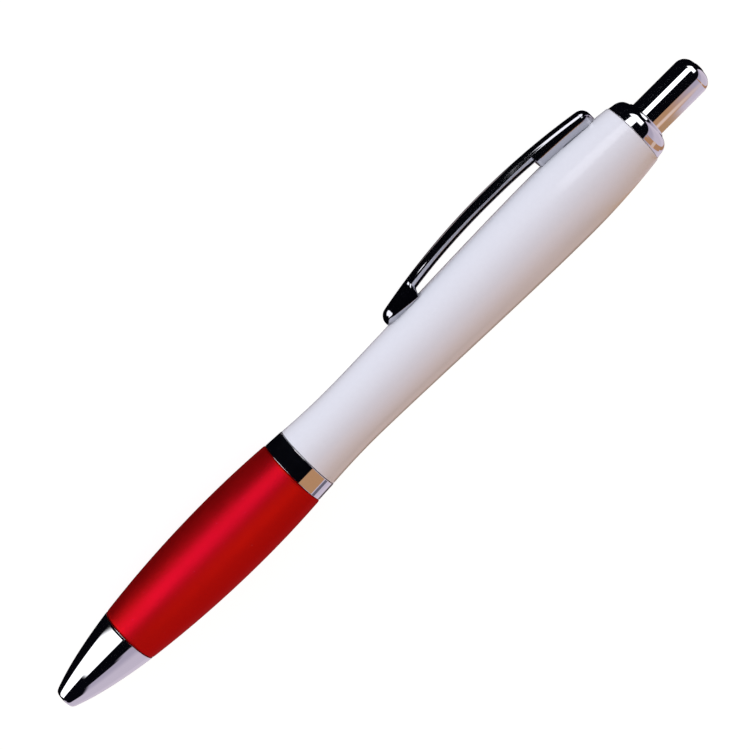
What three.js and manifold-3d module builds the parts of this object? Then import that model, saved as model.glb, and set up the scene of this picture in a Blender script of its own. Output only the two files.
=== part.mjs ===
// A retractable ballpoint pen: a red soft grip and a chromed nozzle in front, a chromed middle band,
// a waisted white barrel with a sprung clip, and a long push button that drives a ratchet cam.
//
// Every piece is drawn in the pen's own frame, in millimetres: Y runs along the pen from the writing
// end (y = 0) to the push button, X points out from the axis towards the clip, and Z runs across it.
// At the end the pen is laid on its side, as it comes to rest on a table.

import * as THREE from 'three';
import { mergeVertices } from 'three/addons/utils/BufferGeometryUtils.js';
import Module from 'manifold-3d';

// Lengths of what shows, in order from the writing end
const NOZZLE_LENGTH = 14.5;
const GRIP_LENGTH = 36.25;
const BAND_WIDTH = 3.35;
const BARREL_LENGTH = 71.25;
const COLLAR_HEIGHT = 3.2;
const BUTTON_REACH = 11.45;

// Outside radii and where the skin is level
const NOZZLE_END_RADIUS = 1.5;
const NOZZLE_SHOULDER_RADIUS = 2.0;
const NOZZLE_SHOULDER_HEIGHT = 0.6;
const NOZZLE_FLARE = 0.37;
const NOZZLE_REAR_RADIUS = 5.1;
const NOZZLE_REAR_FLARE = 0.13;
const GRIP_BELLY_RADIUS = 6.55;
const GRIP_BELLY_REACH = 23.5;
const GRIP_REAR_RADIUS = 6.08;
const GRIP_THICKNESS = 1.1;
const GRIP_EDGE_ROUNDING = 0.35;
const BAND_FRONT_RADIUS = 5.98;
const BAND_REAR_RADIUS = 5.8;
const BAND_BEVEL = 0.15;
const BARREL_FRONT_RADIUS = 5.74;
const WAIST_RADIUS = 5.38;
const WAIST_REACH = 9.4;
const WAIST_EASE = 8;
const BELLY_RADIUS = 6.57;
const BELLY_SETBACK = 15.3;
const BELLY_EASE = 14;
const BARREL_REAR_RADIUS = 5.58;
const COLLAR_BASE_RADIUS = 5.45;
const COLLAR_SHOULDER_RADIUS = 5.3;
const COLLAR_SHOULDER_HEIGHT = 0.85;
const COLLAR_DOME_RADIUS = 5.15;
const COLLAR_DOME_FALL = 0.35;
const COLLAR_CROWN_RADIUS = 3.8;
const COLLAR_LIP_WIDTH = 0.3;
const COLLAR_LIP_HEIGHT = 0.16;
const BUTTON_RADIUS = 3.15;
const BUTTON_END_ROUNDING = 1.9;
const BUTTON_CROWN_HEIGHT = 0.2;
const BUTTON_FLAT_RADIUS = 0.7;
const BUTTON_WALL = 0.5;

// Clearances
const JOINT_GAP = 0.05;
const FIT = 0.1;
const CONTACT_GAP = 0.15;

// Nozzle and front barrel, inside
const NOZZLE_SPIGOT_RADIUS = 3.4;
const NOZZLE_SPIGOT_LENGTH = 5;
const SPRING_SEAT_HEIGHT = 3.4;
const FRONT_BARREL_NOSE_BORE = 2.4;
const FRONT_BARREL_BORE = 3.2;
const FRONT_BARREL_NOSE_WALL_LENGTH = 7.5;
const BAND_SEAT_RADIUS = 4.45;
const THREAD_SPIGOT_RADIUS = 4.25;
const THREAD_SPIGOT_LENGTH = 7.5;
const THREAD_SPIGOT_BEVEL = 0.4;

// Upper barrel, inside
const SOCKET_RUN_OUT = 1;
const BARREL_BORE = 4.1;
const MECHANISM_BORE = 4.75;
const BARREL_EDGE_BEVEL = 0.12;

// Clip
const CLIP_LENGTH = 45.3;
const CLIP_SETBACK = 2.45;
const CLIP_CREST_SETBACK = 20.6;
const CLIP_CREST_HEIGHT = 3.65;
const CLIP_BOW_RADIUS = 122;
const CLIP_ARM_THICKNESS = 1.95;
const CLIP_NECK_THICKNESS = 1.45;
const CLIP_CROWN = 0.3;
const CLIP_EDGE_ROUNDING = 0.28;
const CLIP_UNDERSIDE_ROUNDING = 0.15;
const CLIP_DRAFT_DEPTH = 0.9;
const CLIP_DRAFT = 0.35;
const CLIP_WIDTH_EASE = 6.5;
const CLIP_ARM_WIDTH = 3.7;
const CLIP_BLOCK_WIDTH = 4;
const CLIP_FOOT_WIDTH = 4.5;
const CLIP_FOOT_LENGTH = 7;
const CLIP_FOOT_SLOPE = 1.2;
const CLIP_BLOCK_LENGTH = 11.3;
const CLIP_BLOCK_SLOPE = 0.25;
const CLIP_END_ROUNDING = 1.3;
const CLIP_END_WIDTH_SHARE = 0.25;
const CLIP_SEAT_GAP = 0.1;
const CLIP_TENON_WIDTH = 2.2;
const CLIP_TENON_LENGTH = 4.6;
const CLIP_HOOK_WIDTH = 1.6;
const CLIP_HOOK_LENGTH = 0.7;
const CLIP_HOOK_THICKNESS = 0.28;
const CLIP_SLOT_PLAY = 0.25;

// Click mechanism. The teeth repeat eight times round the pen and the grooves four times.
const COLLAR_SPIGOT_LENGTH = 3.2;
const PRESS_TRAVEL = 6;
const GROOVE_COUNT = 4;
const GROOVE_ANGLE = 36;
const ROTOR_RIB_ANGLE = 30;
const TOOTH_RISE = 1.4;
const TOOTH_CLEARANCE = 0.2;
const TOOTH_CONTACT_ANGLE = 18;
const SLEEVE_LENGTH = 16.5;
const SLEEVE_BORE = 3.8;
const SLEEVE_FLAT_WALL = 0.35;
const GUIDE_RIB_DEPTH = 0.5;
const KEY_LENGTH = 3;
const PLUNGER_BORE = 2;
const PLUNGER_ROOF = 2.5;
const ROTOR_CORE_RADIUS = 2.4;
const ROTOR_CORE_LENGTH = 4.5;
const ROTOR_RIB_LENGTH = 4.5;
const ROTOR_CORE_SINK = 1.5;
const ROTOR_PILOT_RADIUS = 1.8;
const ROTOR_PILOT_LENGTH = 5.5;
const ROTOR_STEM_RADIUS = 1.65;
const ROTOR_STEM_LENGTH = 1.8;
const ROTOR_PLUG_LENGTH = 2.5;

// Refill and spring
const POINT_SETBACK = 1.6;
const BALL_RADIUS = 0.5;
const BALL_PROUD = 0.35;
const BALL_PLAY = 0.03;
const POINT_LIP_RADIUS = 0.6;
const POINT_LIP_WIDTH = 0.68;
const POINT_LIP_HEIGHT = 0.3;
const POINT_CONE_LENGTH = 3.05;
const POINT_RADIUS = 1.15;
const POINT_LENGTH = 7.05;
const POINT_CHANNEL_RADIUS = 0.25;
const POINT_CHANNEL_LENGTH = 3;
const POINT_STEM_RADIUS = 0.85;
const POINT_STEM_BORE = 0.5;
const POINT_STEM_LENGTH = 2.5;
const HOLDER_NOSE_RADIUS = 1.25;
const HOLDER_NOSE_LENGTH = 10.9;
const HOLDER_COLLAR_RADIUS = 1.95;
const HOLDER_COLLAR_WIDTH = 1.2;
const HOLDER_STUB_LENGTH = 3.8;
const HOLDER_CHANNEL_RADIUS = 0.6;
const TUBE_RADIUS = 1.5;
const TUBE_BORE = 1.1;
const SPRING_WIRE = 0.36;
const SPRING_MEAN_RADIUS = 1.62;
const SPRING_TURNS = 11;
const SPRING_STEPS_PER_TURN = 8;
const SPRING_WIRE_SIDES = 5;

// Facets round the pen: on the outside, inside, and on the small parts of the refill
const OUTER_FACETS = 36;
const INNER_FACETS = 28;
const SMALL_FACETS = 16;

// Stations along the pen
const gripFront = NOZZLE_LENGTH;
const gripRear = gripFront + GRIP_LENGTH;
const barrelFront = gripRear + BAND_WIDTH;
const barrelRear = barrelFront + BARREL_LENGTH;
const collarTop = barrelRear + COLLAR_HEIGHT;
const buttonEnd = collarTop + BUTTON_REACH;
const spigotBottom = barrelRear - COLLAR_SPIGOT_LENGTH;
const sleeveRear = spigotBottom - CONTACT_GAP;
const sleeveFront = sleeveRear - SLEEVE_LENGTH;

// The teeth, with y at each one's tip and root while the pen is retracted
const toothPitch = 360 / (2 * GROOVE_COUNT);
const riseRate = TOOTH_RISE / toothPitch;
const crownRoot = sleeveRear - KEY_LENGTH;
const crownTip = crownRoot - TOOTH_RISE;
const ribFrom = (GROOVE_ANGLE - ROTOR_RIB_ANGLE) / 2;
const ribTo = ribFrom + ROTOR_RIB_ANGLE;
const ribHigh = crownTip - CONTACT_GAP + riseRate * (ribTo - TOOTH_CONTACT_ANGLE);
const ribLow = ribHigh - riseRate * ROTOR_RIB_ANGLE;
const stopTip = ribHigh - PRESS_TRAVEL + TOOTH_CLEARANCE;
const rotorCoreRear = ribLow - ROTOR_CORE_SINK;
const rotorCoreFront = rotorCoreRear - ROTOR_CORE_LENGTH;
const rotorFront = rotorCoreFront - ROTOR_STEM_LENGTH;
const tubeRear = rotorFront - CONTACT_GAP;
const ribRadius = SLEEVE_BORE - FIT;
const collarBore = BUTTON_RADIUS + FIT;

// The refill, from the ball backwards
const ballCentre = POINT_SETBACK + BALL_RADIUS;
const pointFront = POINT_SETBACK + BALL_PROUD;
const pointRear = pointFront + POINT_LENGTH;
const holderFront = pointRear + FIT;
const holderCollarFront = holderFront + HOLDER_NOSE_LENGTH;
const holderCollarRear = holderCollarFront + HOLDER_COLLAR_WIDTH;
const tubeFront = holderCollarRear + CONTACT_GAP;

// The clip, from its free end backwards
const clipRear = barrelRear - CLIP_SETBACK;
const clipFront = clipRear - CLIP_LENGTH;
const clipCrest = clipRear - CLIP_CREST_SETBACK;
const footRear = clipFront + CLIP_FOOT_LENGTH;
const blockFront = clipRear - CLIP_BLOCK_LENGTH;
const hookRear = sleeveRear - FIT * 2;
const tenonRear = hookRear - CLIP_HOOK_LENGTH;
const tenonFront = tenonRear - CLIP_TENON_LENGTH;
const sleeveFlat = SLEEVE_BORE + SLEEVE_FLAT_WALL;
const tenonFloor = sleeveFlat + FIT;

const wasm = await Module();
wasm.setup();

const point = (radius, y) => new THREE.Vector2(radius, y);
const rad = THREE.MathUtils.degToRad;

// A curve that leaves one point and runs out level, as the side of a belly or a waist does.
function levelling(from, to, steps) {
  const middle = point(to.x, (from.y + to.y) / 2);
  return new THREE.QuadraticBezierCurve(from, middle, to).getPoints(steps);
}

// The radius of a skin, a list of points in order of y, at one height.
function radiusAt(skin, y) {
  const next = skin.findIndex((p) => p.y >= y);
  if (next <= 0) {
    return skin[next === 0 ? 0 : skin.length - 1].x;
  }
  const [a, b] = [skin[next - 1], skin[next]];
  return THREE.MathUtils.mapLinear(y, a.y, b.y, a.x, b.x);
}

// A closed ring or a solid of revolution from a half section. Rings return to their first point,
// and the other sections begin and end on the axis.
function revolved(section, facets) {
  const onAxis = section[0].x === 0;
  const outline = onAxis ? section : [...section, section[0]];
  return new THREE.LatheGeometry(outline, facets);
}

// Skins a row of rings that have the same number of points, with a cap on each end.
function loft(rings) {
  const count = rings[0].length;
  const positions = rings.flat().flatMap((p) => p.toArray());
  const faces = [];
  for (let ring = 0; ring < rings.length - 1; ring += 1) {
    for (let i = 0; i < count; i += 1) {
      const a = ring * count + i;
      const b = ring * count + ((i + 1) % count);
      faces.push(a, b, a + count, b, b + count, a + count);
    }
  }
  const last = (rings.length - 1) * count;
  for (let i = 1; i < count - 1; i += 1) {
    faces.push(0, i + 1, i);
    faces.push(last, last + i, last + i + 1);
  }
  const geometry = new THREE.BufferGeometry();
  geometry.setAttribute('position', new THREE.Float32BufferAttribute(positions, 3));
  geometry.setIndex(faces);
  return geometry;
}

// A box between two heights, two distances from the axis and half a width to each side.
function block(xFrom, xTo, yFrom, yTo, width) {
  const box = new THREE.BoxGeometry(xTo - xFrom, yTo - yFrom, width);
  return box.translate((xFrom + xTo) / 2, (yFrom + yTo) / 2, 0);
}

// Part of a ring between two angles whose front and rear ends may each climb as a helix does.
function ringSector(inner, outer, from, to, front, rear) {
  const steps = Math.ceil((to - from) / 9);
  const rings = [];
  for (let i = 0; i <= steps; i += 1) {
    const share = i / steps;
    const angle = rad(THREE.MathUtils.lerp(from, to, share));
    const low = THREE.MathUtils.lerp(front[0], front[1], share);
    const high = THREE.MathUtils.lerp(rear[0], rear[1], share);
    const corners = [[inner, low], [inner, high], [outer, high], [outer, low]];
    rings.push(corners.map(([r, y]) => new THREE.Vector3(r * Math.cos(angle), y, -r * Math.sin(angle))));
  }
  return loft(rings);
}

// Turns a closed geometry into a solid that can be joined and cut.
function solid(geometry) {
  const bare = geometry.clone();
  bare.deleteAttribute('normal');
  bare.deleteAttribute('uv');
  const merged = mergeVertices(bare, 1e-5);
  const index = merged.index.array;
  const triangles = [];
  for (let i = 0; i < index.length; i += 3) {
    const [a, b, c] = [index[i], index[i + 1], index[i + 2]];
    if (a !== b && b !== c && c !== a) {
      triangles.push(a, b, c);
    }
  }
  return new wasm.Manifold(new wasm.Mesh({
    numProp: 3,
    vertProperties: new Float32Array(merged.attributes.position.array),
    triVerts: new Uint32Array(triangles),
  }));
}

function geometryOf(manifold) {
  const mesh = manifold.getMesh();
  const geometry = new THREE.BufferGeometry();
  geometry.setAttribute('position', new THREE.BufferAttribute(mesh.vertProperties, 3));
  geometry.setIndex(new THREE.BufferAttribute(mesh.triVerts, 1));
  return geometry;
}

function joined(geometries) {
  return geometries.map(solid).reduce((whole, piece) => whole.add(piece));
}

// The skins that the hand feels
const nozzleShoulder = point(NOZZLE_SHOULDER_RADIUS, NOZZLE_SHOULDER_HEIGHT);
const nozzleRear = point(NOZZLE_REAR_RADIUS, gripFront - JOINT_GAP);

// The two straight flares of the nozzle cross at one point, which steers its curve.
function nozzleSkin() {
  const run = nozzleRear.y - nozzleShoulder.y;
  const lift = nozzleRear.x - nozzleShoulder.x - NOZZLE_REAR_FLARE * run;
  const cross = lift / (NOZZLE_FLARE - NOZZLE_REAR_FLARE);
  const steer = point(nozzleShoulder.x + NOZZLE_FLARE * cross, nozzleShoulder.y + cross);
  const corner = point(NOZZLE_SHOULDER_RADIUS - NOZZLE_FLARE * NOZZLE_SHOULDER_HEIGHT, 0);
  const nose = new THREE.QuadraticBezierCurve(point(NOZZLE_END_RADIUS, 0), corner, nozzleShoulder);
  const side = new THREE.QuadraticBezierCurve(nozzleShoulder, steer, nozzleRear);
  return [...nose.getPoints(3), ...side.getPoints(8).slice(1)];
}

function gripSkin(frontSteps, rearSteps) {
  const belly = point(GRIP_BELLY_RADIUS, gripFront + GRIP_BELLY_REACH);
  const front = levelling(point(NOZZLE_REAR_RADIUS, gripFront), belly, frontSteps);
  const rear = levelling(point(GRIP_REAR_RADIUS, gripRear - JOINT_GAP), belly, rearSteps).reverse();
  return [...front, ...rear.slice(1)];
}

function barrelSkin() {
  const waist = point(WAIST_RADIUS, barrelFront + WAIST_REACH);
  const belly = point(BELLY_RADIUS, barrelRear - BELLY_SETBACK);
  const front = levelling(point(BARREL_FRONT_RADIUS, barrelFront + JOINT_GAP), waist, 5);
  const swell = new THREE.CubicBezierCurve(
    waist,
    point(waist.x, waist.y + WAIST_EASE),
    point(belly.x, belly.y - BELLY_EASE),
    belly,
  );
  const rear = levelling(point(BARREL_REAR_RADIUS, barrelRear), belly, 6).reverse();
  return [...front, ...swell.getPoints(11).slice(1), ...rear.slice(1)];
}

const gripOutside = gripSkin(8, 5);
const gripInside = gripSkin(5, 3).map((p) => point(p.x - GRIP_THICKNESS, p.y));
const barrelOutside = barrelSkin();

// The chromed cone. The point passes through its hole and the spring stands on the step inside.
function nozzle() {
  const socketFloor = gripFront - NOZZLE_SPIGOT_LENGTH - CONTACT_GAP;
  const hole = POINT_RADIUS + FIT;
  const springBore = SPRING_MEAN_RADIUS + SPRING_WIRE / 2 + FIT * 2;
  const socket = NOZZLE_SPIGOT_RADIUS + FIT;
  return revolved([
    ...nozzleSkin(),
    point(socket, nozzleRear.y),
    point(socket, socketFloor),
    point(springBore, socketFloor),
    point(springBore, SPRING_SEAT_HEIGHT),
    point(hole, SPRING_SEAT_HEIGHT),
    point(hole, 0),
  ], OUTER_FACETS);
}

// The plastic core of the front half, with the nozzle's spigot, the seat of the grip,
// the neck for the band and the spigot that screws into the upper barrel.
function frontBarrel() {
  const front = gripFront - NOZZLE_SPIGOT_LENGTH;
  const rear = barrelFront + THREAD_SPIGOT_LENGTH;
  const underGrip = gripInside.map((p) => point(p.x - FIT, p.y));
  const noseEnd = front + FRONT_BARREL_NOSE_WALL_LENGTH;
  return revolved([
    point(FRONT_BARREL_NOSE_BORE, front),
    point(NOZZLE_SPIGOT_RADIUS, front),
    point(NOZZLE_SPIGOT_RADIUS, gripFront),
    ...underGrip,
    point(BAND_SEAT_RADIUS, gripRear - JOINT_GAP),
    point(BAND_SEAT_RADIUS, barrelFront),
    point(THREAD_SPIGOT_RADIUS, barrelFront),
    point(THREAD_SPIGOT_RADIUS, rear - THREAD_SPIGOT_BEVEL),
    point(THREAD_SPIGOT_RADIUS - THREAD_SPIGOT_BEVEL, rear),
    point(FRONT_BARREL_BORE, rear),
    point(FRONT_BARREL_BORE, noseEnd + FRONT_BARREL_BORE - FRONT_BARREL_NOSE_BORE),
    point(FRONT_BARREL_NOSE_BORE, noseEnd),
  ], OUTER_FACETS);
}

// The soft sleeve, an even wall over the front barrel, with its outer edges rounded.
function gripSleeve() {
  const front = gripOutside[0];
  const rear = gripOutside[gripOutside.length - 1];
  const edge = GRIP_EDGE_ROUNDING;
  const roundedFront = new THREE.QuadraticBezierCurve(
    point(front.x - edge, front.y),
    front,
    point(radiusAt(gripOutside, front.y + edge), front.y + edge),
  );
  const roundedRear = new THREE.QuadraticBezierCurve(
    point(radiusAt(gripOutside, rear.y - edge), rear.y - edge),
    rear,
    point(rear.x - edge, rear.y),
  );
  return revolved([
    ...roundedFront.getPoints(3),
    ...gripOutside.slice(1, -1),
    ...roundedRear.getPoints(3),
    ...[...gripInside].reverse(),
  ], OUTER_FACETS);
}

function centreBand() {
  const front = gripRear;
  const rear = barrelFront - JOINT_GAP;
  const bore = BAND_SEAT_RADIUS + FIT;
  return revolved([
    point(bore, front),
    point(BAND_FRONT_RADIUS - BAND_BEVEL, front),
    point(BAND_FRONT_RADIUS, front + BAND_BEVEL),
    point(BAND_REAR_RADIUS, rear - BAND_BEVEL),
    point(BAND_REAR_RADIUS - BAND_BEVEL, rear),
    point(bore, rear),
  ], OUTER_FACETS);
}

// The waisted barrel. Its bore is a socket for the front barrel, a plain run, and from a step
// onwards the seat of the mechanism. The clip's tenon passes through a slot in its wall.
function upperBarrel() {
  const socket = THREAD_SPIGOT_RADIUS + FIT;
  const socketEnd = barrelFront + THREAD_SPIGOT_LENGTH + SOCKET_RUN_OUT;
  const step = sleeveFront - CONTACT_GAP;
  const front = barrelOutside[0];
  const rear = barrelOutside[barrelOutside.length - 1];
  const bevel = BARREL_EDGE_BEVEL;
  const shell = revolved([
    point(socket, front.y),
    point(front.x - bevel, front.y),
    point(radiusAt(barrelOutside, front.y + bevel), front.y + bevel),
    ...barrelOutside.slice(1, -1),
    point(radiusAt(barrelOutside, rear.y - bevel), rear.y - bevel),
    point(rear.x - bevel, rear.y),
    point(MECHANISM_BORE, rear.y),
    point(MECHANISM_BORE, step),
    point(BARREL_BORE, step),
    point(BARREL_BORE, socketEnd),
    point(socket, socketEnd - (socket - BARREL_BORE)),
  ], OUTER_FACETS);
  const slot = block(
    BARREL_BORE,
    BELLY_RADIUS + CLIP_CREST_HEIGHT,
    tenonFront - CLIP_SLOT_PLAY,
    tenonRear + FIT,
    CLIP_TENON_WIDTH + 2 * FIT,
  );
  return geometryOf(solid(shell).subtract(solid(slot)));
}

// The chromed cap that closes the barrel, holds the sleeve down and lets the button through.
function endCollar() {
  const base = barrelRear + JOINT_GAP;
  const shoulder = point(COLLAR_SHOULDER_RADIUS, barrelRear + COLLAR_SHOULDER_HEIGHT);
  const crownHeight = collarTop - COLLAR_LIP_HEIGHT;
  const crown = point(COLLAR_CROWN_RADIUS, crownHeight - COLLAR_LIP_HEIGHT);
  const dome = new THREE.QuadraticBezierCurve(
    shoulder,
    point(COLLAR_DOME_RADIUS, crown.y - COLLAR_DOME_FALL),
    crown,
  );
  const lip = collarBore + COLLAR_LIP_WIDTH;
  return revolved([
    point(collarBore, spigotBottom),
    point(MECHANISM_BORE - FIT, spigotBottom),
    point(MECHANISM_BORE - FIT, base),
    point(COLLAR_BASE_RADIUS, base),
    ...dome.getPoints(7),
    point(lip, crownHeight),
    point(lip - COLLAR_LIP_WIDTH / 3, collarTop),
    point(collarBore, collarTop),
  ], OUTER_FACETS);
}

// A drawn cap, closed at its rounded end, that is pushed over the plunger's shaft.
function pushButton() {
  const edge = buttonEnd - BUTTON_CROWN_HEIGHT;
  const rounding = new THREE.EllipseCurve(
    BUTTON_RADIUS - BUTTON_END_ROUNDING,
    edge - BUTTON_END_ROUNDING,
    BUTTON_END_ROUNDING,
    BUTTON_END_ROUNDING,
    0,
    Math.PI / 2,
  );
  const skirt = plungerShoulder() + FIT;
  const bore = BUTTON_RADIUS - BUTTON_WALL;
  const roof = edge - BUTTON_WALL;
  return revolved([
    point(0, roof),
    point(bore - BUTTON_WALL, roof),
    point(bore, roof - BUTTON_END_ROUNDING + BUTTON_WALL),
    point(bore, skirt),
    point(BUTTON_RADIUS, skirt),
    ...rounding.getPoints(7),
    point(BUTTON_FLAT_RADIUS, buttonEnd),
    point(0, buttonEnd),
  ], INNER_FACETS);
}

function plungerShoulder() {
  return spigotBottom + CONTACT_GAP;
}

// The thrust member: a hollow shaft in the button, four keys that run in the sleeve's grooves
// and stop under the collar, and a crown of eight saw teeth at its front.
function plunger() {
  const shaft = BUTTON_RADIUS - BUTTON_WALL - FIT;
  const roof = buttonEnd - BUTTON_CROWN_HEIGHT - BUTTON_END_ROUNDING - BUTTON_WALL;
  const body = revolved([
    point(PLUNGER_BORE, crownRoot),
    point(BUTTON_RADIUS, crownRoot),
    point(BUTTON_RADIUS, plungerShoulder()),
    point(shaft, plungerShoulder()),
    point(shaft, roof),
    point(0, roof),
    point(0, roof - PLUNGER_ROOF),
    point(PLUNGER_BORE, roof - PLUNGER_ROOF),
  ], INNER_FACETS);
  const pieces = [body];
  const keyPlay = (GROOVE_ANGLE - ROTOR_RIB_ANGLE) / 2;
  const sunk = crownRoot + TOOTH_CLEARANCE;
  for (let tooth = 0; tooth < 2 * GROOVE_COUNT; tooth += 1) {
    const from = TOOTH_CONTACT_ANGLE + tooth * toothPitch;
    const front = [crownTip, crownRoot];
    pieces.push(ringSector(PLUNGER_BORE, BUTTON_RADIUS, from, from + toothPitch, front, [sunk, sunk]));
  }
  for (let groove = 0; groove < GROOVE_COUNT; groove += 1) {
    const from = (groove * 360) / GROOVE_COUNT + keyPlay;
    const ends = [[crownRoot, crownRoot], [sleeveRear, sleeveRear]];
    pieces.push(ringSector(BUTTON_RADIUS - FIT, ribRadius, from, from + ROTOR_RIB_ANGLE, ...ends));
  }
  return geometryOf(joined(pieces));
}

// The ratchet. Its four ribs have sloped rear faces: the crown pushes on their inner part and the
// stops in the sleeve catch their outer part.
function camRotor() {
  const pilotTop = rotorCoreRear + ROTOR_PILOT_LENGTH;
  const plug = TUBE_BORE - FIT;
  const body = revolved([
    point(0, rotorFront - ROTOR_PLUG_LENGTH),
    point(plug, rotorFront - ROTOR_PLUG_LENGTH),
    point(plug, rotorFront),
    point(ROTOR_STEM_RADIUS, rotorFront),
    point(ROTOR_STEM_RADIUS, rotorCoreFront),
    point(ROTOR_CORE_RADIUS, rotorCoreFront),
    point(ROTOR_CORE_RADIUS, rotorCoreRear),
    point(ROTOR_PILOT_RADIUS, rotorCoreRear),
    point(ROTOR_PILOT_RADIUS, pilotTop - FIT),
    point(ROTOR_PILOT_RADIUS - FIT, pilotTop),
    point(0, pilotTop),
  ], INNER_FACETS);
  const pieces = [body];
  const ribFront = ribLow - ROTOR_RIB_LENGTH;
  for (let groove = 0; groove < GROOVE_COUNT; groove += 1) {
    const turn = (groove * 360) / GROOVE_COUNT;
    const ends = [[ribFront, ribFront], [ribLow, ribHigh]];
    pieces.push(ringSector(ROTOR_CORE_RADIUS - FIT, ribRadius, turn + ribFrom, turn + ribTo, ...ends));
  }
  return geometryOf(joined(pieces));
}

// The cam sleeve. Between its four grooves stand ribs whose front ends are cut to two saw teeth
// each: one holds the rotor with the point out, and the other leads it on into the next groove.
function guideSleeve() {
  const outer = MECHANISM_BORE - FIT;
  const tube = revolved([
    point(SLEEVE_BORE, sleeveFront),
    point(outer - FIT, sleeveFront),
    point(outer, sleeveFront + FIT),
    point(outer, sleeveRear),
    point(SLEEVE_BORE, sleeveRear),
  ], INNER_FACETS);
  const inner = SLEEVE_BORE - GUIDE_RIB_DEPTH;
  const rooted = SLEEVE_BORE + SLEEVE_FLAT_WALL / 2;
  const rear = [sleeveRear, sleeveRear];
  const pieces = [tube];
  for (let groove = 0; groove < GROOVE_COUNT; groove += 1) {
    const turn = (groove * 360) / GROOVE_COUNT;
    const from = turn + GROOVE_ANGLE;
    const wall = from + toothPitch;
    const to = turn + 360 / GROOVE_COUNT;
    const climb = stopTip + riseRate * (to - wall);
    pieces.push(ringSector(inner, rooted, from, wall, [stopTip, stopTip + TOOTH_RISE], rear));
    pieces.push(ringSector(inner, rooted, wall, to, [stopTip, climb], rear));
  }
  const flat = block(sleeveFlat, MECHANISM_BORE, sleeveFront - FIT, sleeveRear + FIT, 2 * MECHANISM_BORE);
  return geometryOf(joined(pieces).subtract(solid(flat)));
}

// The turned metal point: a cup for the ball with its lip closed in over it, then the ink channel.
function ballPoint() {
  const cup = BALL_RADIUS + BALL_PLAY;
  const lipAngle = Math.asin((pointFront - ballCentre) / cup);
  const channelAngle = Math.acos(POINT_CHANNEL_RADIUS / cup);
  const socket = new THREE.EllipseCurve(0, ballCentre, cup, cup, lipAngle, channelAngle);
  const cone = point(POINT_RADIUS, pointFront + POINT_CONE_LENGTH);
  const channelEnd = ballCentre + POINT_CHANNEL_LENGTH;
  const rear = pointRear + POINT_STEM_LENGTH;
  return revolved([
    point(POINT_LIP_RADIUS, pointFront),
    point(POINT_LIP_WIDTH, pointFront + POINT_LIP_HEIGHT),
    cone,
    point(POINT_RADIUS, pointRear),
    point(POINT_STEM_RADIUS, pointRear),
    point(POINT_STEM_RADIUS, rear),
    point(POINT_STEM_BORE, rear),
    point(POINT_STEM_BORE, channelEnd + POINT_STEM_BORE - POINT_CHANNEL_RADIUS),
    point(POINT_CHANNEL_RADIUS, channelEnd),
    ...socket.getPoints(8).reverse(),
  ], SMALL_FACETS);
}

// The moulded adapter between the metal point and the ink tube. The spring pushes on its collar.
function tipHolder() {
  const stub = TUBE_BORE - FIT;
  const stem = POINT_STEM_RADIUS + FIT;
  const stemEnd = pointRear + POINT_STEM_LENGTH + FIT;
  const rear = holderCollarRear + HOLDER_STUB_LENGTH;
  return revolved([
    point(stem, holderFront),
    point(HOLDER_NOSE_RADIUS, holderFront),
    point(HOLDER_NOSE_RADIUS, holderCollarFront),
    point(HOLDER_COLLAR_RADIUS, holderCollarFront),
    point(HOLDER_COLLAR_RADIUS, holderCollarRear),
    point(stub, holderCollarRear),
    point(stub, rear),
    point(HOLDER_CHANNEL_RADIUS, rear),
    point(HOLDER_CHANNEL_RADIUS, stemEnd),
    point(stem, stemEnd),
  ], SMALL_FACETS);
}

function refillTube() {
  return revolved([
    point(TUBE_BORE, tubeFront),
    point(TUBE_RADIUS, tubeFront),
    point(TUBE_RADIUS, tubeRear),
    point(TUBE_BORE, tubeRear),
  ], SMALL_FACETS);
}

// The line of the spring's wire: a helix between two short straight ends that stand square on
// the nozzle's step and on the holder's collar.
function springLine() {
  const from = SPRING_SEAT_HEIGHT + CONTACT_GAP;
  const to = holderCollarFront - CONTACT_GAP;
  const steps = SPRING_TURNS * SPRING_STEPS_PER_TURN;
  const line = [new THREE.Vector3(SPRING_MEAN_RADIUS, from, 0)];
  for (let step = 0; step <= steps; step += 1) {
    const angle = (step / SPRING_STEPS_PER_TURN) * 2 * Math.PI;
    const y = THREE.MathUtils.mapLinear(step, 0, steps, from + SPRING_WIRE, to - SPRING_WIRE);
    line.push(new THREE.Vector3(
      SPRING_MEAN_RADIUS * Math.cos(angle),
      y,
      SPRING_MEAN_RADIUS * Math.sin(angle),
    ));
  }
  line.push(new THREE.Vector3(SPRING_MEAN_RADIUS, to, 0));
  return line;
}

// One unbroken tube. Each section of the wire stands in a plane through the pen's axis, or lies
// flat on the two straight ends.
function returnSpring() {
  const line = springLine();
  const last = line.length - 1;
  const rings = line.map((centre, i) => {
    const outward = new THREE.Vector3(centre.x, 0, centre.z).normalize();
    const along = new THREE.Vector3(0, 1, 0);
    const round = new THREE.Vector3().crossVectors(outward, along);
    const flatEnd = i === 0 || i === last;
    const lean = i === 1 || i === last - 1;
    const up = flatEnd ? round : along;
    const second = lean ? along.clone().add(round).normalize() : up;
    const ring = [];
    for (let side = 0; side < SPRING_WIRE_SIDES; side += 1) {
      const angle = (side / SPRING_WIRE_SIDES) * 2 * Math.PI;
      ring.push(centre.clone()
        .addScaledVector(outward, (Math.cos(angle) * SPRING_WIRE) / 2)
        .addScaledVector(second, (Math.sin(angle) * SPRING_WIRE) / 2));
    }
    return ring;
  });
  return loft(rings);
}

// The least gap between two turns, measured between the points of the wire's line.
function springGap() {
  const line = springLine();
  let least = Infinity;
  for (let i = 0; i < line.length; i += 1) {
    for (let j = i + SPRING_STEPS_PER_TURN / 2; j < line.length; j += 1) {
      least = Math.min(least, line[i].distanceTo(line[j]));
    }
  }
  return least - SPRING_WIRE;
}

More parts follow.
